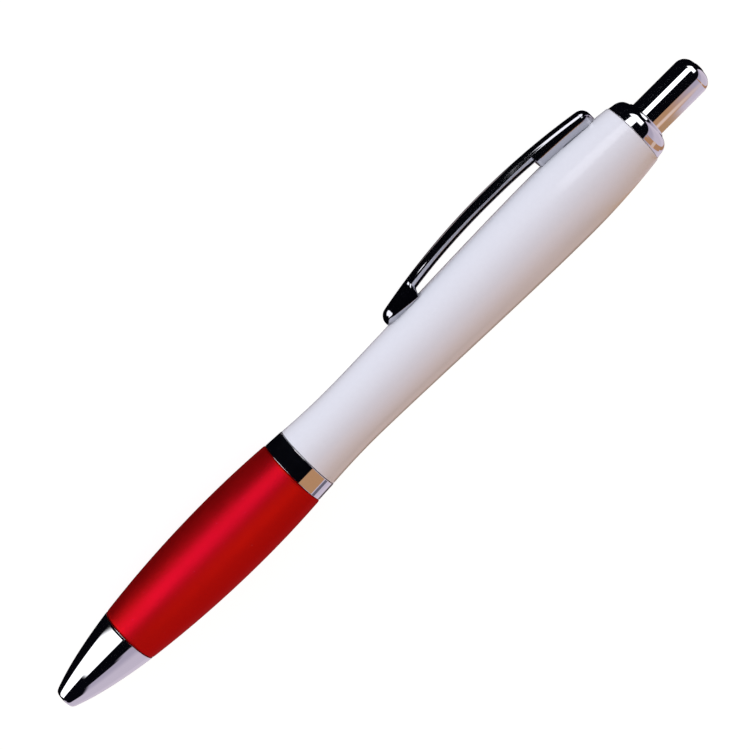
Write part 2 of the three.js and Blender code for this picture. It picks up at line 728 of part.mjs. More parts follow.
// The bowed outer face of the clip, as a distance from the pen's axis.
function clipOutside(y) {
  const crest = radiusAt(barrelOutside, clipCrest) + CLIP_CREST_HEIGHT;
  const offset = y - clipCrest;
  return crest - CLIP_BOW_RADIUS + Math.sqrt(CLIP_BOW_RADIUS ** 2 - offset ** 2);
}

// Half of the clip's width: a rounded foot, a slimmer arm and a block with a rounded end.
function clipHalfWidth(y) {
  const stations = [
    [clipFront, CLIP_FOOT_WIDTH],
    [footRear, CLIP_FOOT_WIDTH],
    [footRear + CLIP_WIDTH_EASE, CLIP_ARM_WIDTH],
    [blockFront, CLIP_ARM_WIDTH],
    [blockFront + CLIP_WIDTH_EASE / 2, CLIP_BLOCK_WIDTH],
    [clipRear, CLIP_BLOCK_WIDTH],
  ];
  const skin = stations.map(([at, width]) => point(width / 2, at));
  return radiusAt(skin, y);
}

// How far the clip's ends have drawn in, from 1 on the straight run to 0 at the very end.
function clipEndShare(y, reach) {
  const left = Math.min(y - clipFront, clipRear - y);
  const inward = Math.max(0, 1 - left / reach);
  return Math.sqrt(Math.max(0, 1 - inward ** 2));
}

// One section across the clip. The outer face is crowned and its edges are eased, and the inner
// part of each side leans inward. Under the foot and the block the inner face is hollowed to sit
// on the barrel.
function clipSection(y) {
  const endShare = clipEndShare(y, clipHalfWidth(y));
  const half = clipHalfWidth(y) * Math.max(endShare, CLIP_END_WIDTH_SHARE);
  const seat = radiusAt(barrelOutside, y) + CLIP_SEAT_GAP;
  const armShare = THREE.MathUtils.clamp((y - footRear) / (clipCrest - footRear), 0, 1);
  const thickness = THREE.MathUtils.lerp(CLIP_NECK_THICKNESS, CLIP_ARM_THICKNESS, armShare);
  const footShare = THREE.MathUtils.clamp((footRear + CLIP_FOOT_SLOPE - y) / CLIP_FOOT_SLOPE, 0, 1);
  const blockShare = THREE.MathUtils.clamp((y - blockFront) / CLIP_BLOCK_SLOPE, 0, 1);
  const seated = Math.max(footShare, blockShare);
  const drop = CLIP_END_ROUNDING * (1 - clipEndShare(y, CLIP_END_ROUNDING));
  const outside = clipOutside(y) - drop;
  const arm = outside - thickness;
  const shares = [1, 0.8, 0.4, 0, -0.4, -0.8, -1];
  const outerFace = [];
  for (const share of shares) {
    const eased = Math.abs(share) === 1 ? CLIP_EDGE_ROUNDING : 0;
    outerFace.push(new THREE.Vector3(outside - CLIP_CROWN * share ** 2 - eased, y, share * half));
  }
  const base = half - CLIP_DRAFT * endShare;
  const innerFace = [];
  for (const share of [...shares].reverse()) {
    const saddle = Math.sqrt(seat ** 2 - (share * base) ** 2);
    const underside = arm + CLIP_UNDERSIDE_ROUNDING * share ** 4;
    innerFace.push(new THREE.Vector3(THREE.MathUtils.lerp(underside, saddle, seated), y, share * base));
  }
  const edge = innerFace[0].x + CLIP_DRAFT_DEPTH * endShare;
  return [
    ...outerFace,
    new THREE.Vector3(edge, y, -half),
    ...innerFace,
    new THREE.Vector3(edge, y, half),
  ];
}

// The heights of the clip's sections: close together round its ends and its two steps.
function clipHeights() {
  const heights = new Set();
  const endSteps = 6;
  for (let i = 0; i <= endSteps; i += 1) {
    const inset = (1 - Math.cos((i / endSteps) * (Math.PI / 2))) * (CLIP_FOOT_WIDTH / 2);
    heights.add(clipFront + inset);
    heights.add(clipRear - inset);
  }
  const shoulderSteps = 3;
  for (let i = 0; i <= shoulderSteps; i += 1) {
    heights.add(footRear + (i / shoulderSteps) * CLIP_FOOT_SLOPE);
  }
  heights.add(blockFront);
  heights.add(blockFront + CLIP_BLOCK_SLOPE);
  heights.add(blockFront + CLIP_WIDTH_EASE / 2);
  const armSteps = 9;
  for (let i = 1; i < armSteps; i += 1) {
    heights.add(THREE.MathUtils.lerp(footRear + CLIP_FOOT_SLOPE, blockFront, i / armSteps));
  }
  return [...heights].sort((a, b) => a - b);
}

// The clip, with the tenon that passes through the barrel's wall and the hook behind it.
function clip() {
  const bar = loft(clipHeights().map(clipSection));
  const seat = radiusAt(barrelOutside, tenonRear) + CLIP_ARM_THICKNESS / 2;
  const tenon = block(tenonFloor, seat, tenonFront, tenonRear, CLIP_TENON_WIDTH);
  const hookTop = tenonFloor + CLIP_HOOK_THICKNESS;
  const hook = block(tenonFloor, hookTop, tenonRear - CLIP_HOOK_LENGTH, hookRear, CLIP_HOOK_WIDTH);
  return geometryOf(joined([bar, tenon, hook]));
}

// The roll, in radians below level, at which the clip touches the table that the barrel lies on:
// the smallest that any point of the clip allows.
function restRoll(clipMesh) {
  const positions = clipMesh.geometry.attributes.position;
  let roll = Math.PI / 2;
  for (let i = 0; i < positions.count; i += 1) {
    const reach = Math.hypot(positions.getX(i), positions.getZ(i));
    if (reach > BELLY_RADIUS) {
      const touch = Math.asin(BELLY_RADIUS / reach);
      roll = Math.min(roll, touch - Math.atan2(positions.getZ(i), positions.getX(i)));
    }
  }
  return roll;
}

const materials = {
  chrome: { color: 0xc9c9ce, roughness: 0.06, metalness: 1 },
  softGrip: { color: 0xb80a1e, roughness: 0.55, metalness: 0 },
  whiteShell: { color: 0xe9e8ee, roughness: 0.18, metalness: 0 },
  whiteCore: { color: 0xe4e4e6, roughness: 0.45, metalness: 0 },
  acetal: { color: 0xf2efe6, roughness: 0.4, metalness: 0 },
  blackCam: { color: 0x1c1c1e, roughness: 0.4, metalness: 0 },
  inkTube: { color: 0xc9d2dd, roughness: 0.25, metalness: 0 },
  nickelSilver: { color: 0xc6bfae, roughness: 0.25, metalness: 1 },
  carbide: { color: 0x8d9096, roughness: 0.1, metalness: 1 },
  springSteel: { color: 0xa9acb2, roughness: 0.25, metalness: 1 },
};

const pen = new THREE.Group();

function place(name, geometry, finish) {
  const mesh = new THREE.Mesh(geometry, new THREE.MeshStandardMaterial(materials[finish]));
  mesh.name = name;
  pen.add(mesh);
  return mesh;
}

place('nozzle', nozzle(), 'chrome');
place('front_barrel', frontBarrel(), 'whiteCore');
place('grip_sleeve', gripSleeve(), 'softGrip');
place('centre_band', centreBand(), 'chrome');
place('upper_barrel', upperBarrel(), 'whiteShell');
place('end_collar', endCollar(), 'chrome');
place('push_button', pushButton(), 'chrome');
place('plunger', plunger(), 'acetal');
place('cam_rotor', camRotor(), 'blackCam');
place('guide_sleeve', guideSleeve(), 'acetal');
place('refill_tube', refillTube(), 'inkTube');
place('tip_holder', tipHolder(), 'acetal');
place('ball_point', ballPoint(), 'nickelSilver');
place('return_spring', returnSpring(), 'springSteel');
const clipMesh = place('clip', clip(), 'chrome');

// The ball's poles lie across the pen, on the axis that it is shown rolling about.
const ball = place('writing_ball', new THREE.SphereGeometry(BALL_RADIUS, SMALL_FACETS, SMALL_FACETS / 2), 'carbide');
ball.rotation.x = Math.PI / 2;
ball.position.y = ballCentre;

console.log(`least gap between the spring's turns: ${springGap().toFixed(2)} mm`);

// Laid down: the pen's axis along X, its button to +X, the clip to +Y and resting on the table.
pen.rotation.set(Math.PI - restRoll(clipMesh), 0, -Math.PI / 2);
const table = new THREE.Group();
table.add(pen);
table.updateMatrixWorld(true);
const extent = new THREE.Box3().setFromObject(table, true);
const middle = extent.getCenter(new THREE.Vector3());
pen.position.set(-middle.x, -middle.y, -extent.min.z);

export default table;
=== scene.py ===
import math
import bmesh
import bpy
from mathutils import Matrix, Vector


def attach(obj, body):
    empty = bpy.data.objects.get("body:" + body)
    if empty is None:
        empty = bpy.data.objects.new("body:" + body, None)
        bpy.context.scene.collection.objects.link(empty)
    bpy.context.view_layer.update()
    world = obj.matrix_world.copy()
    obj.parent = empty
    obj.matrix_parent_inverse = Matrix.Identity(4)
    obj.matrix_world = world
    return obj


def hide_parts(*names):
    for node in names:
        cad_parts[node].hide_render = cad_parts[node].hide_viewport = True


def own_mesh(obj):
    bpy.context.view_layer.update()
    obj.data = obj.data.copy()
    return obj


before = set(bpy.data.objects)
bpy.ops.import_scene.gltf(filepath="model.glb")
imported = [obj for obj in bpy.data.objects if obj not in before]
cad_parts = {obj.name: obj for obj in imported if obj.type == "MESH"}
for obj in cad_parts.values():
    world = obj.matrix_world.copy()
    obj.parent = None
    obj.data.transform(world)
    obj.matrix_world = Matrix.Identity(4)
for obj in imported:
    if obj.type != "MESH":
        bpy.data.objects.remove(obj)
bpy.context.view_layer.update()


# Nozzle. A hollow cone cast in zinc alloy and plated bright, pressed over the spigot of the front
# barrel. The point comes out of the hole in its flat end, and the spring stands on a step inside.
AXIS_LEFT_OF_MIDDLE = -1.33735
AXIS_HEIGHT = 6.57
REST_ROLL = math.radians(31.5329)
PEN_MIDDLE = 70
TURN_STEPS = 144

lean, drop = math.cos(REST_ROLL), math.sin(REST_ROLL)
pen_to_table = Matrix.Scale(0.001, 4) @ Matrix((
    (0, 1, 0, -PEN_MIDDLE),
    (lean, 0, -drop, AXIS_LEFT_OF_MIDDLE),
    (-drop, 0, -lean, AXIS_HEIGHT),
    (0, 0, 0, 1),
))


def curved(start, steer, end, steps):
    """Points of a curve from start to end that heads for steer first."""
    points = []
    for step in range(steps + 1):
        t = step / steps
        weights = ((1 - t) ** 2, 2 * t * (1 - t), t ** 2)
        ends = (start, steer, end)
        points.append(tuple(sum(w * p[axis] for w, p in zip(weights, ends)) for axis in (0, 1)))
    return points


def levelling(start, end, steps):
    """A curve that leaves start and runs out level at end, as the side of a belly does."""
    return curved(start, (end[0], (start[1] + end[1]) / 2), end, steps)


def spun(section, steps=TURN_STEPS):
    """Turns a half section of (radius, distance from the writing end) round the pen's axis."""
    bm = bmesh.new()
    corners = [bm.verts.new((radius, along, 0)) for radius, along in section]
    following = corners[1:] if section[0][0] == 0 else corners[1:] + corners[:1]
    lines = [bm.edges.new(pair) for pair in zip(corners, following)]
    bmesh.ops.spin(
        bm, geom=corners + lines, cent=(0, 0, 0), axis=(0, 1, 0), dvec=(0, 0, 0),
        angle=2 * math.pi, steps=steps, use_merge=True,
    )
    bmesh.ops.remove_doubles(bm, verts=bm.verts, dist=1e-5)
    bmesh.ops.recalc_face_normals(bm, faces=bm.faces)
    return bm


def eased(bm, rounding, sharper_than=30):
    """Rounds every edge that turns by more than an angle in degrees."""
    sharp = [e for e in bm.edges if e.calc_face_angle(0) > math.radians(sharper_than)]
    bmesh.ops.bevel(
        bm, geom=sharp, offset=rounding, offset_type="OFFSET", segments=3, profile=0.5,
        affect="EDGES", clamp_overlap=True, material=-1,
    )


def laid_down(bm, name, material, slot, body, *nodes):
    """Lays a drawn piece where the frame has it, and makes it ride on its body."""
    bmesh.ops.transform(bm, matrix=pen_to_table, verts=bm.verts)
    for face in bm.faces:
        face.smooth = True
    mesh = bpy.data.meshes.new(name)
    bm.to_mesh(mesh)
    bm.free()
    mesh.materials.append(material)
    piece = bpy.data.objects.new(name, mesh)
    bpy.context.scene.collection.objects.link(piece)
    piece.modifiers.new("even_shading", "WEIGHTED_NORMAL").keep_sharp = True
    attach(piece, body)
    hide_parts(*nodes)
    return piece


def shader(tree, kind, sockets=None, **settings):
    """Adds a shader node; a socket takes a value or another node's output."""
    made = tree.nodes.new(kind)
    for key, value in settings.items():
        setattr(made, key, value)
    for socket, value in (sockets or {}).items():
        if isinstance(value, bpy.types.NodeSocket):
            tree.links.new(value, made.inputs[socket])
        else:
            made.inputs[socket].default_value = value
    return made


SMUDGE_FROM, SMUDGE_TO = 0.42, 0.72
SCRATCH_STRETCH = (0.12, 1.0, 1.0)
SCRATCH_WIDTH = 0.02
WARP_SCALE = 90.0
WARP_REACH = (0.004, 0.004, 0.004)
BREAK_FROM, BREAK_TO = 0.5, 0.62
LARGEST_SPECK = 0.09
SPECK_EDGE = 0.03


def marks_of_use():
    """The group that every finish shares: grain, smudges, hairline scratches and dust, as masks."""
    group = bpy.data.node_groups.new("marks_of_use", "ShaderNodeTree")
    group.interface.new_socket("Place", in_out="INPUT", socket_type="NodeSocketVector")
    for name in ("Grain Scale", "Smudge Scale", "Scratch Scale", "Dust Scale"):
        group.interface.new_socket(name, in_out="INPUT", socket_type="NodeSocketFloat")
    for name in ("Grain", "Smudges", "Scratches", "Dust"):
        group.interface.new_socket(name, in_out="OUTPUT", socket_type="NodeSocketFloat")
    given = group.nodes.new("NodeGroupInput")
    result = group.nodes.new("NodeGroupOutput")
    place = given.outputs["Place"]
    grain = shader(group, "ShaderNodeTexNoise", {
        "Vector": place, "Scale": given.outputs["Grain Scale"], "Detail": 3.0, "Roughness": 0.6,
    })
    smudge = shader(group, "ShaderNodeTexNoise", {
        "Vector": place, "Scale": given.outputs["Smudge Scale"], "Detail": 5.0, "Distortion": 1.2,
    })
    smudges = shader(group, "ShaderNodeMapRange", {
        "Value": smudge.outputs["Fac"], "From Min": SMUDGE_FROM, "From Max": SMUDGE_TO,
    })
    drawn_out = shader(group, "ShaderNodeVectorMath", {
        0: place, 1: SCRATCH_STRETCH,
    }, operation="MULTIPLY")
    warp = shader(group, "ShaderNodeTexNoise", {"Vector": place, "Scale": WARP_SCALE, "Detail": 1.0})
    bent = shader(group, "ShaderNodeVectorMath", {
        0: warp.outputs["Color"], 1: WARP_REACH, 2: drawn_out.outputs[0],
    }, operation="MULTIPLY_ADD")
    cells = shader(group, "ShaderNodeTexVoronoi", {
        "Vector": bent.outputs[0], "Scale": given.outputs["Scratch Scale"],
    }, feature="DISTANCE_TO_EDGE")
    hairlines = shader(group, "ShaderNodeMapRange", {
        "Value": cells.outputs["Distance"], "From Max": SCRATCH_WIDTH, "To Min": 1.0, "To Max": 0.0,
    })
    broken = shader(group, "ShaderNodeMapRange", {
        "Value": grain.outputs["Fac"], "From Min": BREAK_FROM, "From Max": BREAK_TO,
    })
    scratches = shader(group, "ShaderNodeMath", {
        0: hairlines.outputs["Result"], 1: broken.outputs["Result"],
    }, operation="MULTIPLY")
    specks = shader(group, "ShaderNodeTexVoronoi", {
        "Vector": place, "Scale": given.outputs["Dust Scale"],
    })
    size = shader(group, "ShaderNodeSeparateColor", {0: specks.outputs["Color"]})
    reach = shader(group, "ShaderNodeMath", {
        0: size.outputs[0], 1: LARGEST_SPECK,
    }, operation="MULTIPLY")
    near = shader(group, "ShaderNodeMath", {
        0: reach.outputs[0], 1: specks.outputs["Distance"],
    }, operation="SUBTRACT")
    dust = shader(group, "ShaderNodeMapRange", {"Value": near.outputs[0], "From Max": SPECK_EDGE})
    for name, source in (
        ("Grain", grain.outputs["Fac"]),
        ("Smudges", smudges.outputs["Result"]),
        ("Scratches", scratches.outputs[0]),
        ("Dust", dust.outputs["Result"]),
    ):
        group.links.new(source, result.inputs[name])
    return group


use_marks = marks_of_use()
DUST_COLOUR = (0.62, 0.6, 0.58, 1)
MICROMETRE = 1e-6


def finish(name, bare, toned, gloss, relief, scales, scratched, dusty=0.0, **fixed):
    """A finish: two tones that the grain blends, a range of roughness that the smudges blend, and
    the relief of its grain in micrometres. What is fixed is set on the shader's own sockets."""
    material = bpy.data.materials.new(name)
    material.use_nodes = True
    tree = material.node_tree
    surface = tree.nodes["Principled BSDF"]
    place = shader(tree, "ShaderNodeTexCoord").outputs["Object"]
    marks = shader(tree, "ShaderNodeGroup", {}, node_tree=use_marks)
    tree.links.new(place, marks.inputs["Place"])
    for socket, value in zip(("Grain Scale", "Smudge Scale", "Scratch Scale", "Dust Scale"), scales):
        marks.inputs[socket].default_value = value
    tone = shader(tree, "ShaderNodeMix", {
        0: marks.outputs["Grain"], 6: (*bare, 1), 7: (*toned, 1),
    }, data_type="RGBA")
    settled = shader(tree, "ShaderNodeMath", {
        0: marks.outputs["Dust"], 1: dusty,
    }, operation="MULTIPLY")
    colour = shader(tree, "ShaderNodeMix", {
        0: settled.outputs[0], 6: tone.outputs[2], 7: DUST_COLOUR,
    }, data_type="RGBA")
    polish = shader(tree, "ShaderNodeMapRange", {
        "Value": marks.outputs["Smudges"], "To Min": gloss[0], "To Max": gloss[1],
    })
    rough = shader(tree, "ShaderNodeMath", {
        0: marks.outputs["Scratches"], 1: scratched, 2: polish.outputs["Result"],
    }, operation="MULTIPLY_ADD", use_clamp=True)
    height = shader(tree, "ShaderNodeMath", {
        0: marks.outputs["Scratches"], 1: -scratched, 2: marks.outputs["Grain"],
    }, operation="MULTIPLY_ADD")
    bump = shader(tree, "ShaderNodeBump", {
        "Height": height.outputs[0], "Strength": 1.0, "Distance": relief * MICROMETRE,
    })
    tree.links.new(colour.outputs[2], surface.inputs["Base Color"])
    tree.links.new(rough.outputs[0], surface.inputs["Roughness"])
    tree.links.new(bump.outputs["Normal"], surface.inputs["Normal"])
    for socket, value in fixed.items():
        surface.inputs[socket.replace("_", " ")].default_value = value
    return material


chrome = finish(
    "bright_chrome", (0.86, 0.86, 0.88), (0.82, 0.82, 0.85), (0.025, 0.07), 0.02,
    scales=(2600, 160, 900, 700), scratched=0.06, Metallic=1.0,
)

NOZZLE_LENGTH = 14.45
NOZZLE_HOLE = 1.25
NOZZLE_FACE = (1.5, 0)
FACE_ROUNDS_TO = (1.778, 0)
NOZZLE_SHOULDER = (2.0, 0.6)
CONE_SWELLS_TO = (3.87, 5.65)
NOZZLE_REAR = (5.1, NOZZLE_LENGTH)
SPIGOT_SEAT = 3.5
SPIGOT_SEAT_END = 9.35
SPRING_POCKET = 2.0
SPRING_STEP = 3.4

nozzle_section = curved(NOZZLE_FACE, FACE_ROUNDS_TO, NOZZLE_SHOULDER, 8)
nozzle_section += curved(NOZZLE_SHOULDER, CONE_SWELLS_TO, NOZZLE_REAR, 40)[1:]
nozzle_section += [
    (SPIGOT_SEAT, NOZZLE_LENGTH), (SPIGOT_SEAT, SPIGOT_SEAT_END),
    (SPRING_POCKET, SPIGOT_SEAT_END), (SPRING_POCKET, SPRING_STEP),
    (NOZZLE_HOLE, SPRING_STEP), (NOZZLE_HOLE, 0),
]
nozzle = spun(nozzle_section)
eased(nozzle, 0.06)
laid_down(nozzle, "plated_nozzle", chrome, "chrome", "front_body", "nozzle")


# Grip. A sleeve with a satin metallic red skin, an even wall over the front barrel's belly, with its
# two ends rolled in where it meets the nozzle and the band.
GRIP_FRONT = 14.5
GRIP_REAR = 50.7
GRIP_WALL = 1.1
GRIP_ROLL = 0.42
GRIP_FRONT_RADIUS = 5.1
GRIP_BELLY = (6.55, 38.0)
GRIP_REAR_RADIUS = 6.08

grip_outside = levelling((GRIP_FRONT_RADIUS, GRIP_FRONT), GRIP_BELLY, 28)
grip_outside += levelling((GRIP_REAR_RADIUS, GRIP_REAR), GRIP_BELLY, 16)[-2::-1]


def radius_at(skin, along):
    """The radius of a skin, a row of points along the pen, at one distance."""
    for (r0, y0), (r1, y1) in zip(skin, skin[1:]):
        if y0 <= along <= y1:
            return r0 + (r1 - r0) * (along - y0) / (y1 - y0)
    return skin[0][0] if along < skin[0][1] else skin[-1][0]


def rolled_ends(skin, roll):
    """A skin whose first and last corners are rounded over by roll."""
    (front_radius, front), (rear_radius, rear) = skin[0], skin[-1]
    first = (radius_at(skin, front + roll), front + roll)
    last = (radius_at(skin, rear - roll), rear - roll)
    middle = [p for p in skin if front + roll < p[1] < rear - roll]
    start = curved((front_radius - roll, front), (front_radius, front), first, 6)
    end = curved(last, (rear_radius, rear), (rear_radius - roll, rear), 6)
    return start + middle + end


soft_red = finish(
    "satin_red_grip", (0.63, 0.008, 0.004), (0.56, 0.007, 0.0035), (0.44, 0.5), 2.0,
    scales=(7000, 140, 500, 900), scratched=0.05, dusty=0.06,
    Metallic=0.85, Specular_Tint=(0.6, 0.02, 0.01, 1),
)

grip_inside = [(radius - GRIP_WALL, along) for radius, along in reversed(grip_outside)]
grip = spun(rolled_ends(grip_outside, GRIP_ROLL) + grip_inside)
eased(grip, 0.05, sharper_than=50)
satin_grip = laid_down(grip, "satin_grip", soft_red, "soft_grip", "front_body", "grip_sleeve")


# Front barrel. The moulded white core of the front half: a spigot for the nozzle, the belly under
# the grip, a neck for the band, and a threaded spigot that screws into the upper barrel.
BARREL_FRONT = 54.1
CORE_FRONT = 9.5
NOZZLE_SPIGOT = 3.4
GRIP_GAP = 0.1
NECK_RADIUS = 4.45
SPIGOT_ROOT = 3.95
SPIGOT_REAR = 61.6
SPIGOT_CHAMFER = 0.4
REFILL_HOLE = 2.4
REFILL_HOLE_REAR = 17.0
CORE_BORE = 3.2
CORE_BORE_FRONT = 17.8
OUTER_THREAD_CREST = 4.5
OUTER_THREAD_LEAD = 0.9
THREAD_PITCH = 1.0
THREAD_TOP = 0.2
THREAD_SUNK_BY = 0.06
THREAD_LEAST_SHARE = 0.1
THREAD_TURN_STEPS = 72

white_core = finish(
    "moulded_white_core", (0.8, 0.8, 0.81), (0.72, 0.72, 0.74), (0.36, 0.5), 3.0,
    scales=(3000, 120, 400, 900), scratched=0.05, dusty=0.2,
)


def thread(bm, root, crest, front, turns, base):
    """Winds a right-handed thread ridge from root to crest on or in a round wall, with its foot sunk
    a little into the wall. It fades to nearly nothing over half a turn at both ends."""
    sunk = root - THREAD_SUNK_BY * math.copysign(1, crest - root)
    outline = [(sunk, -base / 2), (crest, -THREAD_TOP / 2), (crest, THREAD_TOP / 2), (sunk, base / 2)]
    ridge = bmesh.new()
    corners = [ridge.verts.new((radius, front + along, 0)) for radius, along in outline]
    lines = [ridge.edges.new(pair) for pair in zip(corners, corners[1:] + corners[:1])]
    bmesh.ops.spin(
        ridge, geom=corners + lines, cent=(0, 0, 0), axis=(0, 1, 0),
        dvec=(0, THREAD_PITCH / THREAD_TURN_STEPS, 0),
        angle=2 * math.pi * turns, steps=int(turns * THREAD_TURN_STEPS), use_merge=False,
    )
    bmesh.ops.holes_fill(ridge, edges=[edge for edge in ridge.edges if edge.is_boundary], sides=0)
    run_out = THREAD_PITCH / 2
    rear = front + turns * THREAD_PITCH
    for vert in ridge.verts:
        radius = math.hypot(vert.co.x, vert.co.z)
        share = min(1, (vert.co.y - front) / run_out, (rear - vert.co.y) / run_out)
        if abs(radius - crest) < 0.01 and share < 1:
            faded = sunk + (crest - sunk) * max(share, THREAD_LEAST_SHARE)
            vert.co.x *= faded / radius
            vert.co.z *= faded / radius
    bmesh.ops.recalc_face_normals(ridge, faces=ridge.faces)
    ridge_mesh = bpy.data.meshes.new("thread_ridge")
    ridge.to_mesh(ridge_mesh)
    ridge.free()
    bm.from_mesh(ridge_mesh)
    bpy.data.meshes.remove(ridge_mesh)


under_grip = [(radius - GRIP_WALL - GRIP_GAP, along) for radius, along in grip_outside]
core = spun(
    [(REFILL_HOLE, CORE_FRONT), (NOZZLE_SPIGOT, CORE_FRONT), (NOZZLE_SPIGOT, GRIP_FRONT)]
    + under_grip
    + [(NECK_RADIUS, GRIP_REAR), (NECK_RADIUS, BARREL_FRONT), (SPIGOT_ROOT, BARREL_FRONT)]
    + [(SPIGOT_ROOT, SPIGOT_REAR - SPIGOT_CHAMFER), (SPIGOT_ROOT - SPIGOT_CHAMFER, SPIGOT_REAR)]
    + [(CORE_BORE, SPIGOT_REAR), (CORE_BORE, CORE_BORE_FRONT), (REFILL_HOLE, REFILL_HOLE_REAR)]
)
eased(core, 0.07)
outer_thread_front = BARREL_FRONT + OUTER_THREAD_LEAD
thread(core, SPIGOT_ROOT, OUTER_THREAD_CREST, outer_thread_front, turns=5, base=0.55)
laid_down(core, "threaded_core", white_core, "white_core", "front_body", "front_barrel")


# Band. A plated brass ring that is loose on the neck of the front barrel and is gripped between the
# two halves when they are screwed together. It narrows a little towards the barrel.
BAND_FRONT = 50.75
BAND_REAR = 54.05
BAND_BORE = 4.55
BAND_FRONT_RADIUS = 5.98
BAND_REAR_RADIUS = 5.8

band = spun([
    (BAND_BORE, BAND_FRONT), (BAND_FRONT_RADIUS, BAND_FRONT),
    (BAND_REAR_RADIUS, BAND_REAR), (BAND_BORE, BAND_REAR),
])
eased(band, 0.09)
laid_down(band, "plated_band", chrome, "chrome", "band_body", "centre_band")


# Upper barrel. A glossy white moulding with a waist and a belly, threaded inside its front, with a
# slot in its wall for the clip's tenon and a wide seat for the mechanism in its rear.
BARREL_REAR = 125.35
JOINT_GAP = 0.05
BARREL_FRONT_RADIUS = 5.74
BARREL_REAR_RADIUS = 5.58
SOCKET_RADIUS = 4.55
SOCKET_REAR = 62.15
INNER_THREAD_CREST = 4.0
INNER_THREAD_LEAD = 1.4
BARREL_BORE = 4.1
BARREL_BORE_FRONT = 62.6
MECHANISM_BORE = 4.75
MECHANISM_SEAT = 105.35
SLOT_FRONT = 116.25
SLOT_REAR = 121.2
SLOT_COLUMNS = 6
SLOT_INNER_RADIUS = 4.5
ROW_CLEARANCE = 0.3

white_shell = finish(
    "glossy_white_shell", (0.84, 0.83, 0.88), (0.8, 0.79, 0.84), (0.16, 0.24), 0.25,
    scales=(1500, 70, 420, 800), scratched=0.05, dusty=0.12, Coat_Weight=0.25, Coat_Roughness=0.08,
)


def swelling(start, end, ease_start, ease_end, steps):
    """A curve that leaves start level and reaches end level, as a waist grows into a belly."""
    points = []
    for step in range(steps + 1):
        t = step / steps
        weights = ((1 - t) ** 3, 3 * t * (1 - t) ** 2, 3 * t * t * (1 - t), t ** 3)
        ends = (start, (start[0], start[1] + ease_start), (end[0], end[1] - ease_end), end)
        points.append(tuple(sum(w * p[axis] for w, p in zip(weights, ends)) for axis in (0, 1)))
    return points


WAIST = (5.38, 63.5)
BELLY = (6.57, 110.05)
WAIST_EASE, BELLY_EASE = 8, 14
barrel_outside = levelling((BARREL_FRONT_RADIUS, BARREL_FRONT + JOINT_GAP), WAIST, 12)
barrel_outside += swelling(WAIST, BELLY, WAIST_EASE, BELLY_EASE, 40)[1:]
barrel_outside += levelling((BARREL_REAR_RADIUS, BARREL_REAR), BELLY, 18)[-2::-1]
slot_ends = (SLOT_FRONT, SLOT_REAR)
slotted = [p for p in barrel_outside if min(abs(p[1] - end) for end in slot_ends) > ROW_CLEARANCE]
slotted += [(radius_at(barrel_outside, end), end) for end in slot_ends]
slotted.sort(key=lambda p: p[1])
barrel = spun(
    [(SOCKET_RADIUS, BARREL_FRONT + JOINT_GAP)]
    + slotted
    + [(MECHANISM_BORE, along) for along in (BARREL_REAR, SLOT_REAR, SLOT_FRONT, MECHANISM_SEAT)]
    + [(BARREL_BORE, MECHANISM_SEAT), (BARREL_BORE, BARREL_BORE_FRONT), (SOCKET_RADIUS, SOCKET_REAR)]
)
slot_reach = math.radians((SLOT_COLUMNS + 0.1) * 360 / TURN_STEPS)
pierced = []
for face in barrel.faces:
    middle = face.calc_center_median()
    across_slot = abs(math.atan2(middle.z, middle.x)) < slot_reach
    along_slot = SLOT_FRONT < middle.y < SLOT_REAR
    if across_slot and along_slot and math.hypot(middle.x, middle.z) > SLOT_INNER_RADIUS:
        pierced.append(face)
bmesh.ops.delete(barrel, geom=pierced, context="FACES")
rims = [edge for edge in barrel.edges if edge.is_boundary]
bmesh.ops.bridge_loops(barrel, edges=rims)
bmesh.ops.recalc_face_normals(barrel, faces=barrel.faces)
eased(barrel, 0.1, sharper_than=40)
inner_thread_front = BARREL_FRONT + INNER_THREAD_LEAD
thread(barrel, SOCKET_RADIUS, INNER_THREAD_CREST, inner_thread_front, turns=6, base=0.5)
laid_down(barrel, "white_barrel", white_shell, "white_shell", "barrel_body", "upper_barrel")


# End collar. A plated cap pressed into the rear of the barrel, with a rounded shoulder and a small
# lip round the hole that the button slides in. It holds the ratchet's sleeve down.
COLLAR_BORE = 3.25
COLLAR_STEM = 4.65
COLLAR_STEM_FRONT = 122.15
COLLAR_FRONT = BARREL_REAR + JOINT_GAP
COLLAR_FRONT_RADIUS = 5.45
COLLAR_SIDE = (5.3, 126.2)
COLLAR_SHOULDER = (5.15, 127.88)
LIP_FOOT = (3.8, 128.23)
LIP_SIDE = (3.55, 128.39)
LIP_TOP = (3.45, 128.55)

collar = spun(
    [(COLLAR_BORE, COLLAR_STEM_FRONT), (COLLAR_STEM, COLLAR_STEM_FRONT)]
    + [(COLLAR_STEM, COLLAR_FRONT), (COLLAR_FRONT_RADIUS, COLLAR_FRONT)]
    + curved(COLLAR_SIDE, COLLAR_SHOULDER, LIP_FOOT, 20)
    + [LIP_SIDE, LIP_TOP, (COLLAR_BORE, LIP_TOP[1])]
)
eased(collar, 0.09)
laid_down(collar, "plated_collar", chrome, "chrome", "barrel_body", "end_collar")


# Push button. A drawn and plated brass cap with a well rounded end, closed over the plunger's shaft.
BUTTON_RADIUS = 3.15
BUTTON_ROUNDING = 1.9
BUTTON_END = 140
BUTTON_CROWN = 0.2
CROWN_STEER, CROWN_FLAT = 0.9, 0.7
BUTTON_SKIRT = 122.4
BUTTON_BORE = 2.65
BUTTON_TOP_WALL = 0.7
BORE_ROUNDING = (0.5, 1.4)
ROUNDING_STEPS = 16

